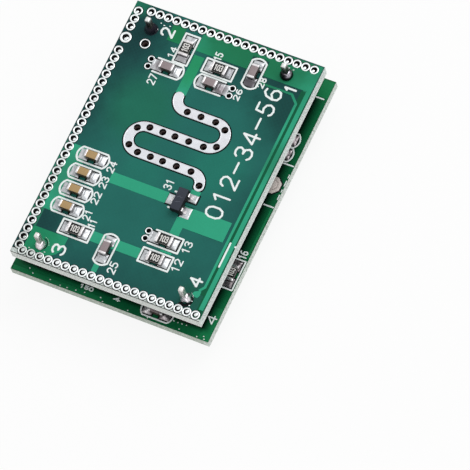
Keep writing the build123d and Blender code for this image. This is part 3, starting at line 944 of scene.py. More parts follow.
def plated_holes(
    geometry="Geometry", ring=1.05 * MM, mouth=0.64 * MM, hole=0.5 * MM, ring_height=0.05 * MM,
    mouth_height=0.02 * MM, depth=1.6 * MM, wall=0.04 * MM, clearing=0.06 * MM, segments=20,
    ring_finish="Material", mouth_finish="Material", barrel_finish="Material", clearing_finish="Material",
):
    """Plated holes: a low round ring on each face of a board, the barrel between, and a cleared gap."""
    tree = home(geometry)
    spread = ring - mouth
    across = spread * 0.25
    bead = swept(circle(tree, segments, (ring + mouth) * 0.25), circle(tree, 8, across))
    flatten = ring_height / across
    rings = joined(scaled(bead, 1.0, 1.0, flatten), scaled(bead, 1.0, 1.0, flatten, depth * -1.0))
    # a dark band round each hole's mouth takes the mouth finish: painted shade in the hole
    lip = (spread * 0.1 + (mouth - hole)) * 0.5
    mouths = band(tree, segments, (lip + hole) * 0.5, lip, mouth_height * 2.0)
    barrel = scaled(band(tree, segments, (hole - wall) * 0.5, wall, depth), 1.0, 1.0, 1.0, depth * -0.5)
    gap = band(tree, segments, (ring + clearing) * 0.5, clearing, 0.016 * MM)
    parts = ((rings, ring_finish), (mouths, mouth_finish), (barrel, barrel_finish), (gap, clearing_finish))
    whole = joined(*(finished(part, finish) for part, finish in parts))
    placed = add(tree, "GeometryNodeInstanceOnPoints", {"Points": geometry, "Instance": whole})
    return {"Geometry": add(tree, "GeometryNodeRealizeInstances", {"Geometry": placed})}


def draw(name, lines, height, width, thickness, finish, slot, ragged=0.02):
    """A piece made of strokes that lie on a face."""
    mesh = grown(
        printed_strokes, strokes_mesh(lines, height), width=width * MM, height=thickness * MM,
        unevenness=ragged * MM, finish=finish_of(finish),
    )
    return add_piece(name, mesh, slot)


def drill(name, places, face, widths, depth, heights, slot, replaced=(), wall="barrel"):
    """A piece made of plated holes through a board.

    widths are those of the ring, of its mouth and of the hole; heights those of the ring and of the mouth.
    """
    ring, mouth, hole, ring_height, mouth_height, depth = (v * MM for v in (*widths, *heights, depth))
    stepped = [(x, y, face + 0.003 * (index % 3)) for index, (x, y) in enumerate(places)]
    mesh = grown(
        plated_holes, points_mesh(stepped), ring=ring, mouth=mouth, hole=hole, ring_height=ring_height,
        mouth_height=mouth_height, depth=depth, clearing=bpy.context.scene.radar_boards.ring_clearing,
        ring_finish=finish_of("ring tin"), mouth_finish=finish_of("mouth"), barrel_finish=finish_of(wall),
        clearing_finish=finish_of("clearing"),
    )
    return add_piece(name, mesh, slot, replaced)


# Printed outlines and numbers


def barrel_outline(half_long, half_wide, bulge=0.42, steps=8):
    """A closed outline about the origin: straight sides, and shallow arcs at its two ends."""
    radius = (half_wide ** 2 + bulge ** 2) / (2 * bulge)
    spread = math.asin(half_wide / radius)
    end = [
        (half_long - radius + radius * math.cos(a), radius * math.sin(a))
        for a in (spread * (2 * step / steps - 1) for step in range(steps + 1))
    ]
    return end + [(-x, -y) for x, y in end] + end[:1]


def part_outline(node, line):
    """The printed outline of a chip part: a rectangle for a resistor, rounded ends for a capacitor."""
    x, y, _, _, _, _, along = chip_setting(node)
    half_wide = (2.05 - line) / 2
    if "resistor" in node:
        long = (4.05 - line) / 2
        points = [(long, half_wide), (-long, half_wide), (-long, -half_wide), (long, -half_wide)]
        points.append(points[0])
    else:
        points = barrel_outline((4.2 - line) / 2, half_wide)
    if along:
        points = [(-v, u) for u, v in points]
    return [(x + u, y + v) for u, v in points]


def opened(line, low, high):
    """A line without its points inside a box, cut into the runs that are left."""
    runs, run = [], []
    for point in line:
        if low[0] < point[0] < high[0] and low[1] < point[1] < high[1]:
            if len(run) > 1:
                runs.append(run)
            run = []
        else:
            run.append(point)
    return runs + ([run] if len(run) > 1 else [])


DIGITS = {
    "-": [[(-0.02, 0.5), (0.62, 0.5)]],
    "0": [[(0.3, 0), (0.1, 0.08), (0, 0.3), (0, 0.7), (0.1, 0.92), (0.3, 1), (0.5, 0.92), (0.6, 0.7),
           (0.6, 0.3), (0.5, 0.08), (0.3, 0)]],
    "1": [[(0.1, 0.78), (0.34, 1), (0.34, 0)]],
    "2": [[(0.02, 0.76), (0.1, 0.93), (0.3, 1), (0.5, 0.93), (0.6, 0.75), (0.52, 0.52), (0, 0), (0.6, 0)]],
    "3": [[(0.02, 0.84), (0.12, 0.96), (0.3, 1), (0.5, 0.94), (0.57, 0.76), (0.48, 0.58), (0.26, 0.53),
           (0.5, 0.47), (0.6, 0.26), (0.5, 0.06), (0.3, 0), (0.1, 0.05), (0, 0.18)]],
    "4": [[(0.44, 0), (0.44, 1), (0, 0.3), (0.6, 0.3)]],
    "5": [[(0.55, 1), (0.1, 1), (0.05, 0.56), (0.3, 0.62), (0.52, 0.52), (0.6, 0.3), (0.5, 0.07),
           (0.28, 0), (0.08, 0.06), (0, 0.18)]],
    "6": [[(0.5, 0.95), (0.3, 1), (0.1, 0.82), (0, 0.42), (0.06, 0.12), (0.28, 0), (0.52, 0.08),
           (0.6, 0.3), (0.5, 0.52), (0.28, 0.58), (0.04, 0.42)]],
    "7": [[(0, 1), (0.6, 1), (0.2, 0)]],
    "8": [[(0.3, 0.54), (0.08, 0.66), (0.06, 0.86), (0.3, 1), (0.54, 0.86), (0.52, 0.66), (0.3, 0.54),
           (0.04, 0.38), (0.02, 0.14), (0.3, 0), (0.58, 0.14), (0.56, 0.38), (0.3, 0.54)]],
    "9": [[(0.56, 0.58), (0.32, 0.42), (0.1, 0.48), (0, 0.7), (0.1, 0.92), (0.32, 1), (0.54, 0.88),
           (0.6, 0.58), (0.5, 0.18), (0.3, 0), (0.1, 0.05)]],
}
DIGIT_WIDTH = 0.6
DIGIT_GAP = 0.25


def number(text, x_top, x_foot, y_start, y_end):
    """Digits that read along +Y with their tops towards -X, fitted between four sides."""
    total = len(text) * DIGIT_WIDTH + (len(text) - 1) * DIGIT_GAP
    stretch = (y_end - y_start) / total
    lines = []
    for place, digit in enumerate(text):
        start = place * (DIGIT_WIDTH + DIGIT_GAP)
        for line in DIGITS[digit]:
            lines.append([
                (x_foot + (x_top - x_foot) * v, y_start + (start + u) * stretch) for u, v in line
            ])
    return lines

# Operators


class RADAR_OT_boards(bpy.types.Operator):
    """Paint both boards: solder mask on the faces and cut laminate on the edges."""

    bl_idname = "radar.boards"
    bl_label = "Boards"

    def execute(self, context):
        for node in ("antenna_board", "control_board"):
            repaint(node, node.replace("_", " "))
        return {"FINISHED"}


def box_outline(x_low, x_high, y_low, y_high):
    return [(x_low, y_low), (x_high, y_low), (x_high, y_high), (x_low, y_high)]


def track(points, width):
    """Outline of a track of one width along a line of points."""
    half = width / 2
    sides = ([], [])
    for i, point in enumerate(points):
        here = Vector(point)
        ahead = (Vector(points[i + 1]) - here).normalized() if i + 1 < len(points) else None
        behind = (here - Vector(points[i - 1])).normalized() if i else None
        run = ((ahead or behind) + (behind or ahead)).normalized()
        normal = Vector((-run.y, run.x))
        reach = half / max(0.4, normal.dot(Vector((-(ahead or behind).y, (ahead or behind).x))))
        sides[0].append(tuple(here + normal * reach))
        sides[1].append(tuple(here - normal * reach))
    return sides[1] + sides[0][::-1]


def raised_areas(name, outlines, face, height, finish, slot, up=1, step=0.001):
    """A piece made of low plates on a face, each a step higher than the one before."""
    work = bmesh.new()
    for place, outline in enumerate(outlines):
        if isinstance(outline, tuple):
            outline = box_outline(*outline)
        plate(work, outline, face - 0.01 * up, face + up * (height + step * place), height * 0.8)
    add_piece(name, to_mesh(work, name, smooth=False), slot, finishes=[finish])


def dash(x, y, half, rise=0.0):
    """A short stroke about a point."""
    return [(x - half, y - rise), (x + half, y + rise)]


class RADAR_OT_copper(bpy.types.Operator):
    """Raise the mask over the copper areas and tracks of both boards."""

    bl_idname = "radar.copper"
    bl_label = "Copper below the mask"

    def execute(self, context):
        height = context.scene.radar_boards.copper_height / MM
        upper = [
            (-5.2, 2.02, -5.2, -3.8), (-10.9, -9.0, -10.8, -2.2),
            [(-10.8, -16.1), (-7.7, -16.1), (-6.9, -15.6), (-6.45, -14.9), (-6.4, -13.15), (-10.8, -13.15)],
            (-6.67, -5.03, 13.6, 15.65),
            [(-2.9, 13.55), (3.66, 13.55), (3.66, 15.42), (5.78, 15.42), (5.78, 13.4), (11.84, 13.4),
             (11.84, 15.82), (-2.9, 15.82)],
            (-2.78, -1.5, 7.9, 13.05),
            track([(5.8, 12.5), (9.9, 12.5), (10.85, 11.55), (10.85, -13.0), (10.35, -13.62)], 0.28),
            (11.3, 11.84, -15.7, 16.85),
            [(9.78, -14.23), (9.91, -13.87), (10.3, -13.67), (10.65, -13.58), (10.71, -14.13), (10.55, -14.5),
             (10.2, -14.49)],
            [(4.13, -8.42), (5.3, -8.42), (5.3, -7.25), (10.33, -7.25), (10.33, -4.67), (4.37, -4.67),
             (4.37, -6.2), (4.13, -6.2)],
            (4.1, 5.5, -10.85, -10.55), (-4.0, 2.03, -12.6, -11.3), (-2.25, -1.58, -15.9, -14.9),
            (4.25, 5.42, -3.2, -2.5),
        ]
        lower = [
            (11.2, 12.5, 15.15, 17.3), (-12.4, -1.0, -17.42, -16.9), (11.3, 12.5, -17.3, -13.2),
            track([(12.35, 0.2), (12.35, -6.4)], 0.24),
        ]
        border = [(10.72, 11.99, -14.0, 13.3), (11.1, 11.99, -16.8, -14.0)]
        raised_areas("antenna_border_mask", border, UPPER_FACE, 0.006, "border mask", "antenna_laminate")
        raised_areas("antenna_copper_areas", upper, UPPER_FACE, height, "antenna copper", "antenna_laminate")
        raised_areas("control_copper_areas", lower, LOWER_FACE, height, "control copper", "control_laminate")
        return {"FINISHED"}


def fill_rows(places, ring):
    """Solder left in the edge holes, which leans to another side in each row."""
    low = min(y for _, y in places) + ring / 2
    high = max(y for _, y in places) - ring / 2
    for name, group, lean_x, lean_y, width in (
        ("bottom_row_solder", [place for place in places if place[1] < low], 0.06, 0.08, 0.46),
        ("top_row_solder", [place for place in places if place[1] > high], -0.07, -0.18, 0.36),
        ("side_row_solder", [place for place in places if low <= place[1] <= high], 0.17, -0.07, 0.34),
    ):
        lines = [dash(x + lean_x, y + lean_y, 0.03, 0.04) for x, y in group]
        draw(name, lines, UPPER_FACE, width, 0.08, "ring tin", "tinned_copper", 0.03)


class RADAR_OT_holes(bpy.types.Operator):
    """Plate the holes: rings on both faces and the barrels between them."""

    bl_idname = "radar.holes"
    bl_label = "Plated holes"

    def execute(self, context):
        height = context.scene.radar_metal.ring_height / MM
        for node, hole, mouth, wider, wall in (
            ("edge_hole_rings", 0.56, 0.68, 0.07, "dark barrel"),
            ("side_hole_rings", 0.48, 0.54, -0.05, "dark barrel"),
            ("post_hole_ring", 0.75, 0.8, 0.03, "dark barrel"),
            ("free_hole_ring", 0.8, 0.92, -0.05, "barrel"),
        ):
            boxes = solids_of(node)
            ring = min(high.x - low.x for low, high in boxes)
            places = []
            for low, high in boxes:
                if high.x - low.x < ring * 1.2:
                    places.append(((low.x + high.x) / 2, (low.y + high.y) / 2))
                else:  # two rings that run into each other at the corner
                    places.append((low.x + ring / 2, high.y - ring / 2))
                    places.append((high.x - ring / 2, low.y + ring / 2))
            drill(
                node + "_tinned", places, UPPER_FACE, (ring + wider, mouth, hole), UPPER_FACE - UPPER_BACK,
                (height, 0.02), "tinned_copper", [node], wall,
            )
            if node == "edge_hole_rings":
                fill_rows(places, ring)
            if node == "post_hole_ring":
                x, y = places[0]
                lump = dash(x + 0.15, y - 0.12, 0.07, 0.08)
                face = UPPER_FACE - 0.05
                draw("post_hole_solder", [lump], face, 0.46, 0.16, "ring tin", "tinned_copper", 0.03)
        return {"FINISHED"}


def rim_loops(node, face):
    """Closed loops of a flat CAD node's upper rim, in millimetres, the longest first."""
    work = bare_copy(node)
    work.normal_update()
    ahead = {}
    for edge in work.edges:
        if len(edge.link_faces) != 2 or min(v.co.z for v in edge.verts) < face - 0.001:
            continue
        tilts = [f.normal.z for f in edge.link_faces]
        if max(tilts) > 0.9 and min(tilts) < 0.5:
            for vertex in edge.verts:
                ahead.setdefault(vertex, []).append(edge.other_vert(vertex))
    loops, seen = [], set()
    for start in ahead:
        if start in seen:
            continue
        loop, here = [start], start
        seen.add(start)
        while True:
            onward = [v for v in ahead[here] if v not in seen]
            if not onward:
                break
            here = onward[0]
            seen.add(here)
            loop.append(here)
        loops.append([(v.co.x, v.co.y) for v in loop] + [(loop[0].co.x, loop[0].co.y)])
    work.free()
    return sorted(loops, key=len, reverse=True)


def drawn_in(loop, inset):
    """A closed loop moved towards its inside by a small distance."""
    points = [Vector(point) for point in loop[:-1]]
    count = len(points)
    area = sum(points[i].cross(points[(i + 1) % count]) for i in range(count))
    side = 1 if area > 0 else -1
    moved = []
    for i, point in enumerate(points):
        run = (points[(i + 1) % count] - points[i - 1]).normalized()
        moved.append(tuple(point + Vector((-run.y, run.x)) * inset * side))
    return moved + moved[:1]


class RADAR_OT_strip(bpy.types.Operator):
    """Tin the antenna strip and round its rim and its holes."""

    bl_idname = "radar.strip"
    bl_label = "Antenna strip"

    def execute(self, context):
        metal, boards = context.scene.radar_metal, context.scene.radar_boards
        repaint("antenna_strip", "tin")
        top = level("antenna_strip", 1)
        outline, *holes = rim_loops("antenna_strip", top)
        lip, gap = metal.lip_width / MM, 2 * boards.clearing / MM + 0.12
        rim = drawn_in(outline, lip * 0.42)
        draw("antenna_strip_rim", [rim], top - 0.02, lip, 0.07, "tin", "tinned_copper", 0.0)
        draw("antenna_strip_clearing", [outline], UPPER_FACE, gap, 0.03, "clearing", "antenna_laminate", 0.0)
        sides = [(min(xs), max(xs), min(ys), max(ys)) for xs, ys in (zip(*hole) for hole in holes)]
        places = [((left + right) / 2, (near + far) / 2) for left, right, near, far in sides]
        bore = max(right - left for left, right, near, far in sides)
        rise = top - UPPER_FACE
        drill(
            "antenna_strip_holes", places, UPPER_FACE, (0.9, 0.84, bore), UPPER_FACE - UPPER_BACK,
            (rise + 0.012, rise + 0.01), "tinned_copper",
        )
        return {"FINISHED"}


CHIPS = [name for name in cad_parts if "resistor_" in name or "capacitor_" in name]
HOLES_BESIDE = {"capacitor_6": 1, "capacitor_7": -1, "resistor_3": -1}


def chip_setting(node):
    """Middle, size and direction of a chip part: x, y, seat, length, width, height, turn."""
    low, high = (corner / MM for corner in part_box(node))
    size = high - low
    along = size.y > size.x
    length, width = (size.y, size.x) if along else (size.x, size.y)
    return (low.x + high.x) / 2, (low.y + high.y) / 2, low.z, length, width, size.z, along

PINS = [chip_setting(f"corner_pin_{place}")[:2] for place in range(1, 5)]


def soldered_pad(work, low, high, face, foil, pull, climb, reach, cells=14):
    """A pad of solder: low and domed at its rim, and drawn up concavely towards a chip's end face.

    pull is (axis, place, side, half_width): the end face's axis and place, the side that the solder is on
    and half the width of the end.
    """
    rim_width, dome, fade_width, ripple, ripple_pitch = 0.07, 0.05, 0.06, 0.012, 2.3
    part = bmesh.new()
    grid = []
    span, middle = high - low, (low + high) / 2
    # the rim's cells are closer together
    shares = [0.5 - 0.5 * math.cos(math.pi * step / cells) for step in range(cells + 1)]
    for u in shares:
        column = []
        for v in shares:
            x, y = low.x + span.x * u, low.y + span.y * v
            rounding = 1 - math.exp(-min(min(u, 1 - u) * span.x, min(v, 1 - v) * span.y) / rim_width)
            height = foil * (0.4 + 0.6 * rounding) + dome * rounding
            if pull:
                axis, place, side, half_width = pull
                out = ((x, y)[axis] - place) * side
                across = abs((x, y)[1 - axis] - middle[1 - axis])
                fade = 1 / (1 + math.exp((across - half_width) / fade_width))
                if out >= 0:
                    height += climb * math.exp(-out / reach) * fade * rounding
            height += ripple * noise.noise((x * ripple_pitch, y * ripple_pitch, 4.0)) * rounding
            column.append(part.verts.new((x, y, face + max(height, 0.01))))
        grid.append(column)
    for here, onward in zip(grid, grid[1:]):
        for i in range(cells):
            part.faces.new((here[i], onward[i], onward[i + 1], here[i + 1]))
    border = (
        [column[0] for column in grid[:-1]] + grid[-1][:-1]
        + [column[-1] for column in grid[:0:-1]] + grid[0][:0:-1]
    )
    foot = ring_of(part, [vertex.co.xy for vertex in border], face)
    bridge(part, foot, border)
    part.faces.new(foot[::-1])
    join_into(work, part, 0)


# how far a chip's middle lies from that of its pad: at most across, and at least and at most along the chip
PAD_ACROSS, PAD_ALONG = 0.3, (0.5, 1.6)


def chip_pull(pad_low, pad_high, chips):
    """The chip whose end stands on a pad: the end face's axis, place, side and half width, and its height."""
    middle = (pad_low + pad_high) / 2
    for x, y, _, length, width, height, along in chips:
        axis = 1 if along else 0
        offset = (middle[axis] - (x, y)[axis], middle[1 - axis] - (x, y)[1 - axis])
        if abs(offset[1]) < PAD_ACROSS and PAD_ALONG[0] < abs(offset[0]) < PAD_ALONG[1]:
            side = 1 if offset[0] > 0 else -1
            return (axis, (x, y)[axis] + side * length / 2, side, width / 2), height
    return None, 0


def is_large(low, high):
    """Whether a pad is one of the large square ones."""
    least_side, tolerance = 1.9, 0.05
    size = high - low
    return size.x > least_side and abs(size.x - size.y) < tolerance


class RADAR_OT_pads(bpy.types.Operator):
    """Solder on the pads of both boards, drawn up to the ends of the chip parts."""

    bl_idname = "radar.pads"
    bl_label = "Solder pads"

    def execute(self, context):
        self.solder("antenna_pads", UPPER_FACE, ["pad tin"], "antenna_laminate", False)
        self.solder("control_pads", LOWER_FACE, ["lower pad tin", "dull solder"], "control_laminate", True)
        return {"FINISHED"}

    def solder(self, node, face, finishes, laminate, lower):
        """Solder on one board's pads, and the gaps in the mask round them."""
        reach = bpy.context.scene.radar_metal.solder_reach / MM
        chips = [chip_setting(chip) for chip in CHIPS if chip.startswith("control_") == lower]
        foil = level(node, 1) - face
        work, gaps, large = bmesh.new(), [], []
        for low, high in solids_of(node):
            if is_large(low, high):
                large.append((low, high))
                continue
            pull, height = chip_pull(low, high, chips)
            soldered_pad(work, low, high, face, foil, pull, height * 0.62, reach)
            gaps.append(box_outline(low.x, high.x, low.y, high.y))
        for low, high in large:
            middle, corner = ((low + high) / 2).xy, (high.x - low.x) / 2
            outline = arc(middle, corner, corner, 22.5, 337.5, 7)
            ring_plate(work, outline, middle, 0.425, face, face + foil, 1)
            gaps.append(outline)
        holes = [] if lower else middles_of(solids_of("side_hole_rings"))
        for chip, side in () if lower else HOLES_BESIDE.items():
            x, y = chip_setting(chip)[:2]
            end = x + side * 1.65
            hole = next(h.x for h in holes if abs(h.x - x) < 3 and abs(h.y - y) < 1) - side * 0.3
            outline = [(end, y - 0.62), (hole, y - 0.72), (hole, y + 0.72), (end, y + 0.62)]
            plate(work, outline, face, face + foil + 0.02, 0.04)
        add_piece(node + "_soldered", to_mesh(work, node), "tinned_copper", [node], finishes)
        gaps = [outline + outline[:1] for outline in gaps]
        draw(node + "_clearing", gaps, face, 0.36, 0.03, "clearing", laminate, 0.0)
        if large:
            places = middles_of(large)
            drill(
                "large_pad_barrels", places, face, (1.05, 0.87, 0.85), LOWER_FACE - LOWER_BACK,
                (foil + 0.02, foil), "tinned_copper",
            )
            lumps = [dash(x, y, 0.04) for x, y in places]
            draw("large_pad_solder", lumps, face + foil, 1.3, 0.14, "dull solder", "solder", 0.08)


def ring_plate(work, outline, centre, hole_radius, low, high, finish=0, per_side=4):
    """A flat plate of any convex outline with a round hole through it."""
    part = bmesh.new()
    middle = Vector(centre)
    rim = [
        Vector(start).lerp(Vector(end), step / per_side)
        for start, end in zip(outline, outline[1:] + outline[:1]) for step in range(per_side)
    ]
    bore = [middle + (point - middle).normalized() * hole_radius for point in rim]
    rounded = [middle + (point - middle) * 0.96 for point in rim]
    steps = ((bore, low), (rim, low), (rim, (low + high) / 2), (rounded, high), (bore, high))
    rings = [ring_of(part, points, z) for points, z in steps]
    for first, second in zip(rings, rings[1:] + rings[:1]):
        bridge(part, first, second)
    bmesh.ops.recalc_face_normals(part, faces=part.faces)
    join_into(work, part, finish)


CERAMIC_SLOTS = {"alumina": "resistor_ceramic", "tan": "capacitor_tan", "brown": "capacitor_brown"}


def build_chip(node, ceramic):
    """A chip part: a ceramic block, metal wrapped round its ends and, on a resistor, a black glaze."""
    x, y, seat, length, width, height, along = chip_setting(node)
    turn = Matrix.Translation((x, y, seat)) @ Matrix.Rotation(math.radians(90 if along else 0), 4, "Z")
    resistor = ceramic == "alumina"
    cap, step, softness = 0.32, 0.025, 0.07 if resistor else 0.1
    end, side = length / 2, width / 2
    body_end, body_side = end - step, side - step
    blocks = [
        ((-body_end, -body_side, step), (body_end, body_side, height - step), 0.05, 0, 2),
        ((-end, -side, 0), (cap - end, side, height), softness, 1, 3),
        ((end - cap, -side, 0), (end, side, height), softness, 1, 3),
    ]
    if resistor:
        glaze, rim = end - cap - 0.03, body_side - 0.02
        blocks.append(((-glaze, -rim, height - step - 0.03), (glaze, rim, height - 0.002), 0.02, 2, 2))
    work = bmesh.new()
    for block in blocks:
        rounded_block(work, *block, turn)
    finishes = [ceramic, "end cap", "glaze"][:3 if resistor else 2]
    add_piece(node + "_fitted", to_mesh(work, node), CERAMIC_SLOTS[ceramic], [node], finishes)
    return turn


class RADAR_OT_chips(bpy.types.Operator):
    """Fit the chip resistors and capacitors."""

    bl_idname = "radar.chips"
    bl_label = "Chip parts"

    def execute(self, context):
        numbers = {}
        tans = {f"capacitor_{place}" for place in range(1, 5)}
        for node in CHIPS:
            ceramic = "alumina" if "resistor" in node else "tan" if node in tans else "brown"
            turn = build_chip(node, ceramic)
            if ceramic == "alumina":
                code = number("103", -0.36, 0.36, -0.48, 0.48)
                lines = [[(turn @ Vector((v, -u, 0))).xy for u, v in line] for line in code]
                numbers.setdefault(round(level(node, 1), 3), []).extend(lines)
        for place, (top, lines) in enumerate(sorted(numbers.items()), 1):
            draw(f"resistor_numbers_{place}", lines, top, 0.13, 0.02, "chip ink", "resistor_ceramic", 0.0)
        return {"FINISHED"}


class RADAR_OT_packages(bpy.types.Operator):
    """Mould the packages with rounded edges, and tin their leads."""

    bl_idname = "radar.packages"
    bl_label = "Packages"

    def execute(self, context):
        for node in ("rf_transistor", "output_transistor", "controller_chip", "regulator"):
            mesh = to_mesh(softened_copy(node, 0.09), node)
            add_piece(node + "_moulded", mesh, "package_epoxy", [node], ["epoxy"])
        x, y = chip_setting("rf_transistor")[:2]
        marks = [
            [(x - 0.34, y + 0.1), (x + 0.02, y + 0.34)], [(x + 0.08, y + 0.12), (x + 0.3, y + 0.28)],
            [(x - 0.3, y - 0.52), (x + 0.24, y - 0.3)],
        ]
        top = level("rf_transistor", 1) - 0.004
        draw("transistor_marks", marks, top, 0.07, 0.014, "faint mark", "package_epoxy")
        for package in ("rf_transistor", "output_transistor", "controller", "regulator"):
            repaint(package + "_leads", "end cap")
        return {"FINISHED"}


def arc(centre, first_radius, last_radius, first, last, steps=14):
    """Points of an arc between two angles in degrees whose radius changes evenly."""
    points = []
    for step in range(steps + 1):
        share = step / steps
        angle = math.radians(first + (last - first) * share)
        radius = first_radius + (last_radius - first_radius) * share
        points.append((centre[0] + radius * math.cos(angle), centre[1] + radius * math.sin(angle)))
    return points


CONCAVE = [(0.8, 0.0), (0.8, 0.06), (0.74, 0.2), (0.65, 0.38), (0.56, 0.56), (0.48, 0.74), (0.42, 0.86),
           (0.34, 0.9), (0.2, 0.9)]
ROUND = [(0.72, 0.0), (0.78, 0.1), (0.78, 0.26), (0.73, 0.45), (0.64, 0.64), (0.52, 0.79), (0.42, 0.87),
         (0.3, 0.9), (0.2, 0.9)]
DROP = [(0.5, 0.0), (0.6, 0.1), (0.64, 0.24), (0.62, 0.38), (0.54, 0.54), (0.44, 0.7), (0.38, 0.82),
        (0.32, 0.9), (0.2, 0.9)]
SPECKS = [(10.14, -15.08), (10.1, -15.66), (10.2, -15.98), (-8.15, 15.3), (-7.7, 15.15), (-7.0, 15.3),
          (8.2, 15.4), (8.75, 15.35), (-8.2, -15.75), (-10.1, -15.9)]


class RADAR_OT_pins(bpy.types.Operator):
    """Tin the corner pins and the contacts, solder them in, and colour their collars."""

    bl_idname = "radar.pins"
    bl_label = "Pins and solder"

    def execute(self, context):
        for place in range(1, 5):
            repaint(f"pin_collar_{place}", "collar")
            node = f"corner_pin_{place}"
            mesh = to_mesh(softened_copy(node, 0.13), node)
            add_piece(node + "_tinned", mesh, "tinned_pin", [node], ["pin" if place <= 2 else "bright pin"])
        repaint("socket_contacts", "bright pin")
        work = bmesh.new()
        for place, (profile, slimness, shift_x, shift_y, unevenness) in enumerate((
            (ROUND, 1.0, 0.0, 0.0, 0.12), (ROUND, 0.9, 0.0, 0.0, 0.12), (DROP, 1.0, 0.06, -0.16, 0.15),
            (DROP, 1.04, 0.16, -0.06, 0.4),
        )):
            centre = (PINS[place][0] + shift_x, PINS[place][1] + shift_y)
            turned = [(radius * slimness, rise) for radius, rise in profile]
            lathe(work, centre, UPPER_FACE, turned, place, 1, place + 1, unevenness)
        finishes = ["solder dark", "flux", "solder bright", "solder faceted"]
        add_piece("upper_solder", to_mesh(work, "upper_solder"), "solder", ["upper_solder_cones"], finishes)
        self.stain(*PINS)
        work = bmesh.new()
        for place, pin in enumerate(PINS):
            lathe(work, pin, LOWER_BACK, CONCAVE, 0, -1, place + 10, 0.1)
        mesh = to_mesh(work, "lower_solder")
        add_piece("lower_solder", mesh, "solder", ["lower_solder_cones"], ["solder bright"])
        work = bmesh.new()
        for low, high in solids_of("contact_solder_cones"):
            middle = (low + high) / 2
            share = (high.x - low.x) / 2 / CONCAVE[0][0]
            rise = (high.z - low.z) / CONCAVE[-1][1]
            profile = [(radius * share, height * rise) for radius, height in CONCAVE]
            lathe(work, middle.xy, low.z, profile, 0, 1, middle.x, 0.1, 24)
        mesh = to_mesh(work, "contact_solder")
        add_piece("contact_solder", mesh, "solder", ["contact_solder_cones"], ["solder bright"])
        return {"FINISHED"}

    def stain(self, first, second, third, fourth):
        """Gaps, burnt flux and spilt solder round the four pins, with painted shadow beside pins 3 and 4 and
        a painted highlight beside pin 2.
        """
        rims = [arc(third, 0.98, 0.92, 85, 10, 8), arc(fourth, 1.0, 0.98, 60, 25, 5)]
        draw("pin_pad_rims", rims, UPPER_FACE + 0.01, 0.05, 0.05, "end cap", "tinned_copper", 0.06)
        # a dark gap round pin 1, and painted shadow on the right of pin 3's cone
        gaps = [arc(first, 0.72, 0.72, 0, 360), arc(third, 0.78, 0.7, 80, -35)]
        draw("pin_gaps", gaps, UPPER_FACE + 0.02, 0.17, 0.05, "clearing", "antenna_laminate", 0.06)
        flux = arc(second, 0.6, 0.6, 0, 360)
        draw("pin_stain", [flux], UPPER_FACE - 0.002, 0.5, 0.03, "flux", "antenna_laminate", 0.12)
        # painted shadow: a black arc on the right and lower side of pin 4's cone
        flux = arc((fourth[0] + 0.16, fourth[1] - 0.06), 0.72, 0.8, 25, -115)
        draw("pin_flux", [flux], UPPER_FACE - 0.002, 0.42, 0.08, "pin shadow paint", "antenna_laminate", 0.1)
        # painted highlight: a bright metal V beside pin 2's cone
        x, y = second
        streak = [(x + 0.15, y + 0.32), (x + 0.62, y - 0.06), (x + 0.7, y + 0.34)]
        draw("pin_streak", [streak], UPPER_FACE + 0.02, 0.07, 0.03, "end cap", "solder", 0.04)
        specks = [dash(x, y + 0.01, 0.03, 0.01) for x, y in SPECKS]
        draw("solder_specks", specks, UPPER_FACE + 0.01, 0.16, 0.1, "ring tin", "solder", 0.04)


class RADAR_OT_socket(bpy.types.Operator):
    """Mould the socket housing with softened edges."""

    bl_idname = "radar.socket"
    bl_label = "Socket"

    def execute(self, context):
        work = cad_copy("socket_housing")
        piece = add_piece(
            "socket_shell", to_mesh(work, "socket_shell", smooth=False), "socket_nylon", ["socket_housing"],
            ["nylon"],
        )
        bevel = piece.modifiers.new("Soft edges", "BEVEL")
        bevel.width = 0.07 * MM
        bevel.segments = 2
        bevel.limit_method = "ANGLE"
        bevel.angle_limit = math.radians(40)
        return {"FINISHED"}


# dots of ink on the near and right-hand rim of the control board
RIM_DOTS = [
    (-10.5, -16.67), (-9.9, -17.1), (-7.67, -17.08), (-6.3, -17.3), (-5.4, -17.3), (-4.33, -17.2),
    (-3.25, -17.08), (-1.25, -17.0), (-0.85, -17.35), (2.33, -17.3), (4.83, -17.28), (8.83, -17.2),
    (11.83, -17.0), (12.0, -17.3), (11.1, -17.3), (7.85, -16.5), (8.35, -16.52), (8.85, -16.5), (9.4, -16.48),
]
# small numbers of the antenna board: digits, tops and feet in x, first and last y
PART_NUMBERS = [
    ("14", -5.67, -5.0, 11.7, 13.0), ("27", -6.5, -5.6, 7.8, 9.0), ("15", -0.5, 0.35, 13.35, 14.25),
    ("28", 5.68, 6.4, 11.95, 13.15), ("26", 3.75, 4.4, 9.5, 10.85), ("24", -6.0, -5.2, -4.0, -2.7),
    ("23", -6.0, -5.2, -6.1, -4.75), ("22", -6.0, -5.2, -8.25, -6.8), ("21", -6.0, -5.2, -10.4, -9.2),
    ("11", -5.0, -4.2, -11.0, -10.1), ("25", -0.5, 0.4, -15.35, -14.0), ("13", 6.4, 7.25, -10.0, -8.6),
    ("12", 6.25, 7.15, -12.5, -11.0), ("31", 1.05, 1.95, -3.5, -2.35),
]
# the pins' numbers on the antenna board, in the same order
PIN_NUMBERS = [
    ("2", -7.7, -6.2, 14.0, 14.95), ("1", 8.8, 10.15, 12.7, 13.3), ("3", -7.55, -6.05, -15.4, -14.3),
    ("4", 8.85, 10.25, -13.25, -12.25),
]


def all_digits(labels):
    """The strokes of several numbers."""
    return [line for label in labels for line in number(*label)]


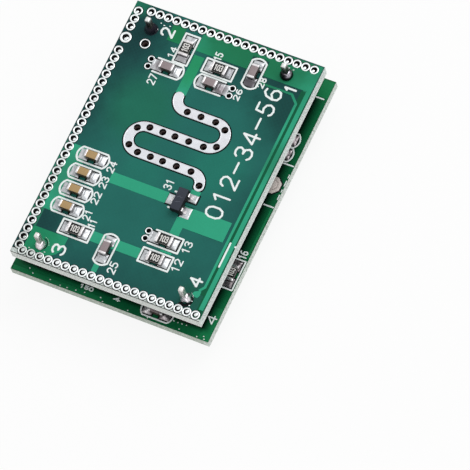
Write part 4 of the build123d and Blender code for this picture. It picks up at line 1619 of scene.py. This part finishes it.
class RADAR_OT_ink(bpy.types.Operator):
    """Print the outlines, the small part numbers and the large plain number."""

    bl_idname = "radar.ink"
    bl_label = "Printed marks"

    def execute(self, context):
        ink = context.scene.radar_ink
        line, small, large, height = (v / MM for v in (ink.line, ink.small_line, ink.large_line, ink.height))
        face, laminate = UPPER_FACE + 0.03, "antenna_laminate"
        draw("antenna_outlines", self.upper_outlines(line), face, line, height, "ink", laminate)
        draw("antenna_part_numbers", all_digits(PART_NUMBERS), face, small, height, "ink", laminate)
        first, pitch, half = -4.22, 1.9875, 0.64
        middles = [(digit, first + pitch * place) for place, digit in enumerate("012-34-56")]
        plain = [(digit, 6.85, 8.85, middle - half, middle + half) for digit, middle in middles]
        draw("antenna_large_numbers", all_digits(PIN_NUMBERS + plain), face, large, height, "ink", laminate)

        face, laminate = LOWER_FACE + 0.03, "control_laminate"
        rim = [part_outline(node, line) for node in CHIPS if node.startswith("control_")]
        rim += [[(11.2, 14.95), (12.15, 14.95)], [(11.2, 5.93), (12.45, 5.93)], [(11.3, 0.4), (12.45, 0.4)]]
        draw("control_outlines", rim, face, 0.2, height, "ink", laminate)
        digits = all_digits((("16", 11.3, 12.2, -6.7, -5.75), ("4", 11.3, 12.3, -15.3, -14.3)))
        # these read along the board's near side, tops away from it
        sideways = all_digits((("150", -16.25, -16.66, -4.1, -2.5), ("4", -16.3, -16.68, 0.2, 0.95)))
        digits += [[(y, x) for x, y in stroke] for stroke in sideways]
        draw("control_numbers", digits, face, small, height, "ink", laminate)
        dots = [dash(x, y, 0.03) for x, y in RIM_DOTS]
        bars = ((4.4, 0.4), (3.3, 0.7), (2.5, 0.3), (1.5, 0.6))
        dots += [[(12.48, y), (12.48, y + long)] for y, long in bars]
        draw("control_dots", dots, face, 0.13, height, "ink", laminate, 0.05)
        return {"FINISHED"}

    def upper_outlines(self, line):
        """Outlines round the antenna board's parts, open where a plated hole lies beside one."""
        reach, shortened, tail, half_width, half_gap = 1.75, 0.82, 2.0, 0.92, 1.1
        whole = [node for node in CHIPS if not node.startswith("control_") and node not in HOLES_BESIDE]
        outlines = [part_outline(node, line) for node in whole]
        for node, side in HOLES_BESIDE.items():
            x, y = chip_setting(node)[:2]
            if "resistor" in node:
                near, far, end = x + side * reach, x + side * reach * shortened, x - side * tail
                low, high = y - half_width, y + half_width
                outlines.append([(near, low), (end, low), (end, high), (far, high)])
            else:
                first, last = (1.7, 9) if side > 0 else (-9, -1.7)
                window = (x + first, y - half_gap), (x + last, y + half_gap)
                outlines += opened(part_outline(node, line), *window)
        return outlines + [
            [(11.23, -7.0), (11.23, -10.1)], [(2.6, -3.45), (2.85, -3.45)], [(2.6, -5.5), (2.85, -5.5)],
            [(11.92, -7.25), (11.96, -7.25)],
        ]


class RADAR_OT_underside(bpy.types.Operator):
    """Tracks, a copper area, pads and print on the control board's underside."""

    bl_idname = "radar.underside"
    bl_label = "Underside"

    def execute(self, context):
        ink, height = context.scene.radar_ink, context.scene.radar_boards.copper_height / MM
        copper, laminate = "control copper", "control_laminate"
        contacts = sorted(tuple(place) for place in middles_of(solids_of("contact_solder_cones")))
        left, middle, right = contacts
        areas = [
            [(-11.9, -16.8), (2.5, -16.8), (2.5, -5.0), (-1.0, -1.5), (-1.0, 7.8), (-11.9, 7.8)],
            (4.2, 11.9, -12.6, -3.4),
        ]
        raised_areas("underside_copper", areas, LOWER_BACK, height, copper, laminate, -1, 0.0)
        pads = middles_of(box for box in solids_of("control_pads") if is_large(*box))
        inner = min(pads, key=lambda pad: pad.x)
        tracks = [
            [left, (left[0], 11.0), (-3.1, 9.4), (PINS[1][0], 9.4), PINS[1]],
            [middle, (middle[0], 5.6), (inner.x, 5.6), (inner.x, inner.y + 0.7)],
            [right, (right[0], 11.0), (3.1, 9.4), (PINS[0][0], 9.4), PINS[0]],
            [PINS[3], (PINS[3][0], -12.8)],
            [(3.6, -3.0), (3.6, 0.6), (6.1, 3.1)],
        ]
        draw("underside_tracks", tracks, LOWER_BACK, 0.55, 0.07, copper, laminate, 0.0)
        vias = [dash(x, y, 0.02) for x in (-10.6, -6.8, -3.0) for y in (-12.0, -8.2, -4.4, -0.6, 3.2)]
        vias += [dash(3.6, -3.0, 0.02), dash(3.6, 0.6, 0.02)]
        draw("underside_vias", vias, LOWER_BACK - height, 0.62, 0.08, copper, laminate, 0.0)
        rings = [arc(pin, 1.02, 1.02, 0, 360, 28) for pin in PINS]
        rings += [arc(contact, 0.52, 0.52, 0, 360, 20) for contact in contacts]
        draw("underside_rings", rings, LOWER_BACK - 0.01, 0.28, 0.09, "ring tin", "tinned_copper")
        lines = [[(-3.4, 17.2), (-3.4, 10.9), (3.4, 10.9), (3.4, 17.2)]]
        for place, (x, y) in enumerate(contacts, 1):
            lines += number(str(place), x + 0.42, x - 0.42, 9.9, 10.4)
        width, half, inwards, outwards = 1.3, 0.4, 2.9, 1.6
        for place, (x, y) in enumerate(PINS, 1):
            start = x - inwards if x > 0 else x + outwards
            lines += number(str(place), start + width, start, y - half, y + half)
        face = LOWER_BACK - height - 0.01
        draw("underside_ink", lines, face, ink.line / MM, ink.height / MM, "ink", laminate)
        return {"FINISHED"}


def place_camera(scene, view):
    """The photograph's camera, turned about its aim."""
    flat = math.cos(view.elevation)
    back = Vector((math.sin(view.azimuth) * flat, -math.cos(view.azimuth) * flat, math.sin(view.elevation)))
    level_right = UPWARD.cross(back).normalized()
    right = level_right * math.cos(view.roll) + back.cross(level_right) * math.sin(view.roll)
    camera = bpy.data.cameras.new("Photo camera")
    camera.lens, camera.sensor_width = view.lens, 36
    camera.clip_start, camera.clip_end = 0.01, 10
    scene.camera = bpy.data.objects.new("Photo camera", camera)
    scene.collection.objects.link(scene.camera)
    turn = Matrix((right, back.cross(right), back)).transposed().to_4x4()
    scene.camera.matrix_world = Matrix.Translation(Vector(view.aim) + back * view.distance) @ turn


def soft_light(name, direction, distance, power):
    """A square soft light that faces the middle of the module."""
    lamp = bpy.data.lights.new(name, "AREA")
    lamp.size, lamp.energy = 0.3, power
    holder = bpy.data.objects.new(name, lamp)
    bpy.context.scene.collection.objects.link(holder)
    away = Vector(direction).normalized()
    holder.location = (CAD_BOX[0] + CAD_BOX[1]) / 2 + away * distance
    holder.rotation_mode = "QUATERNION"
    holder.rotation_quaternion = away.to_track_quat("Z", "Y")


def seen_directly(tree):
    """1 for camera, mirror and glass rays, which see the white surroundings themselves."""
    kinds = ("Is Camera Ray", "Is Glossy Ray", "Is Transmission Ray")
    camera, glossy, through = (add(tree, "ShaderNodeLightPath", output=kind) for kind in kinds)
    return maths("MAXIMUM", camera, maths("MAXIMUM", glossy, through))


def light_world(scene, view):
    """White surroundings where they are seen, and a soft sky everywhere else."""
    world = scene.world = bpy.data.worlds.new("White surroundings")
    world.use_nodes = True
    tree = world.node_tree
    tree.nodes.clear()
    upward = maths("MAXIMUM", split(add(tree, "ShaderNodeTexCoord", output="Generated"))[2], 0.0)
    strength = ramp(upward * upward, 0.0, 1.0, view.horizon, view.ambient)
    felt = add(tree, "ShaderNodeBackground", {"Color": (1, 1, 1), "Strength": strength})
    seen = add(tree, "ShaderNodeBackground", {"Color": (1, 1, 1), "Strength": 1.0})
    mixed = add(tree, "ShaderNodeMixShader", {0: seen_directly(tree), 1: felt, 2: seen})
    add(tree, "ShaderNodeOutputWorld", {"Surface": mixed})


def floor_finish():
    """Pale matt floor that melts into the white surroundings and is clear from below."""
    material = bpy.data.materials.new("Pale floor")
    material.use_nodes = True
    tree = material.node_tree
    tree.nodes.clear()
    place = add(tree, "ShaderNodeTexCoord", output="Object")
    grain = use(
        mottle, place=place, colour=(0.92, 0.92, 0.92), broad_size=3.0, fine_size=60.0, strength=0.03
    )
    matt = add(tree, "ShaderNodeBsdfDiffuse", {"Color": grain["Colour"]})
    glow = add(tree, "ShaderNodeEmission", {"Color": (1, 1, 1), "Strength": 1.0})
    front = add(tree, "ShaderNodeMixShader", {0: seen_directly(tree) * 0.9, 1: matt, 2: glow})
    behind = add(tree, "ShaderNodeNewGeometry", output="Backfacing")
    clear = add(tree, "ShaderNodeBsdfTransparent")
    both = add(tree, "ShaderNodeMixShader", {0: behind, 1: front, 2: clear})
    add(tree, "ShaderNodeOutputMaterial", {"Surface": both})
    return material


class RADAR_OT_stage(bpy.types.Operator):
    """Make the camera, the pale floor, the white surroundings and the soft lights."""

    bl_idname = "radar.stage"
    bl_label = "Camera, floor and lights"

    def execute(self, context):
        scene, view = context.scene, context.scene.radar_view
        scene.view_settings.view_transform = "Standard"
        place_camera(scene, view)
        light_world(scene, view)
        soft_light("Key light", (0.3, 0.5, 0.8), 0.5, view.key)
        soft_light("Fill light", (0.5, -0.9, 0.3), 0.6, view.fill)
        work = bmesh.new()
        bmesh.ops.create_grid(work, x_segments=8, y_segments=8, size=1.5)
        mesh = bpy.data.meshes.new("floor")
        work.to_mesh(mesh)
        work.free()
        mesh.materials.append(floor_finish())
        floor = bpy.data.objects.new("floor", mesh)
        scene.collection.objects.link(floor)
        return {"FINISHED"}


OPERATORS = (
    RADAR_OT_boards, RADAR_OT_copper, RADAR_OT_holes, RADAR_OT_strip, RADAR_OT_pads, RADAR_OT_chips,
    RADAR_OT_packages, RADAR_OT_pins, RADAR_OT_socket, RADAR_OT_ink, RADAR_OT_underside, RADAR_OT_stage,
)


class RADAR_PT_panel(bpy.types.Panel):
    """Lists the steps that dress the module."""

    bl_idname = "RADAR_PT_panel"
    bl_label = "Radar module"
    bl_space_type = "VIEW_3D"
    bl_region_type = "UI"
    bl_category = "Radar module"

    def draw(self, context):
        for operator in OPERATORS:
            self.layout.operator(operator.bl_idname)


def register():
    for group in CHOICES.values():
        bpy.utils.register_class(group)
    for name, group in CHOICES.items():
        setattr(bpy.types.Scene, name, bpy.props.PointerProperty(type=group))
    for kind in (*OPERATORS, RADAR_PT_panel):
        bpy.utils.register_class(kind)


def unregister():
    for kind in (RADAR_PT_panel, *OPERATORS[::-1]):
        bpy.utils.unregister_class(kind)
    for name, group in CHOICES.items():
        delattr(bpy.types.Scene, name)
        bpy.utils.unregister_class(group)


def main():
    """Dress the module step by step."""
    register()
    for operator in OPERATORS:
        family, action = operator.bl_idname.split(".")
        getattr(getattr(bpy.ops, family), action)()


if __name__ == "__main__":
    main()
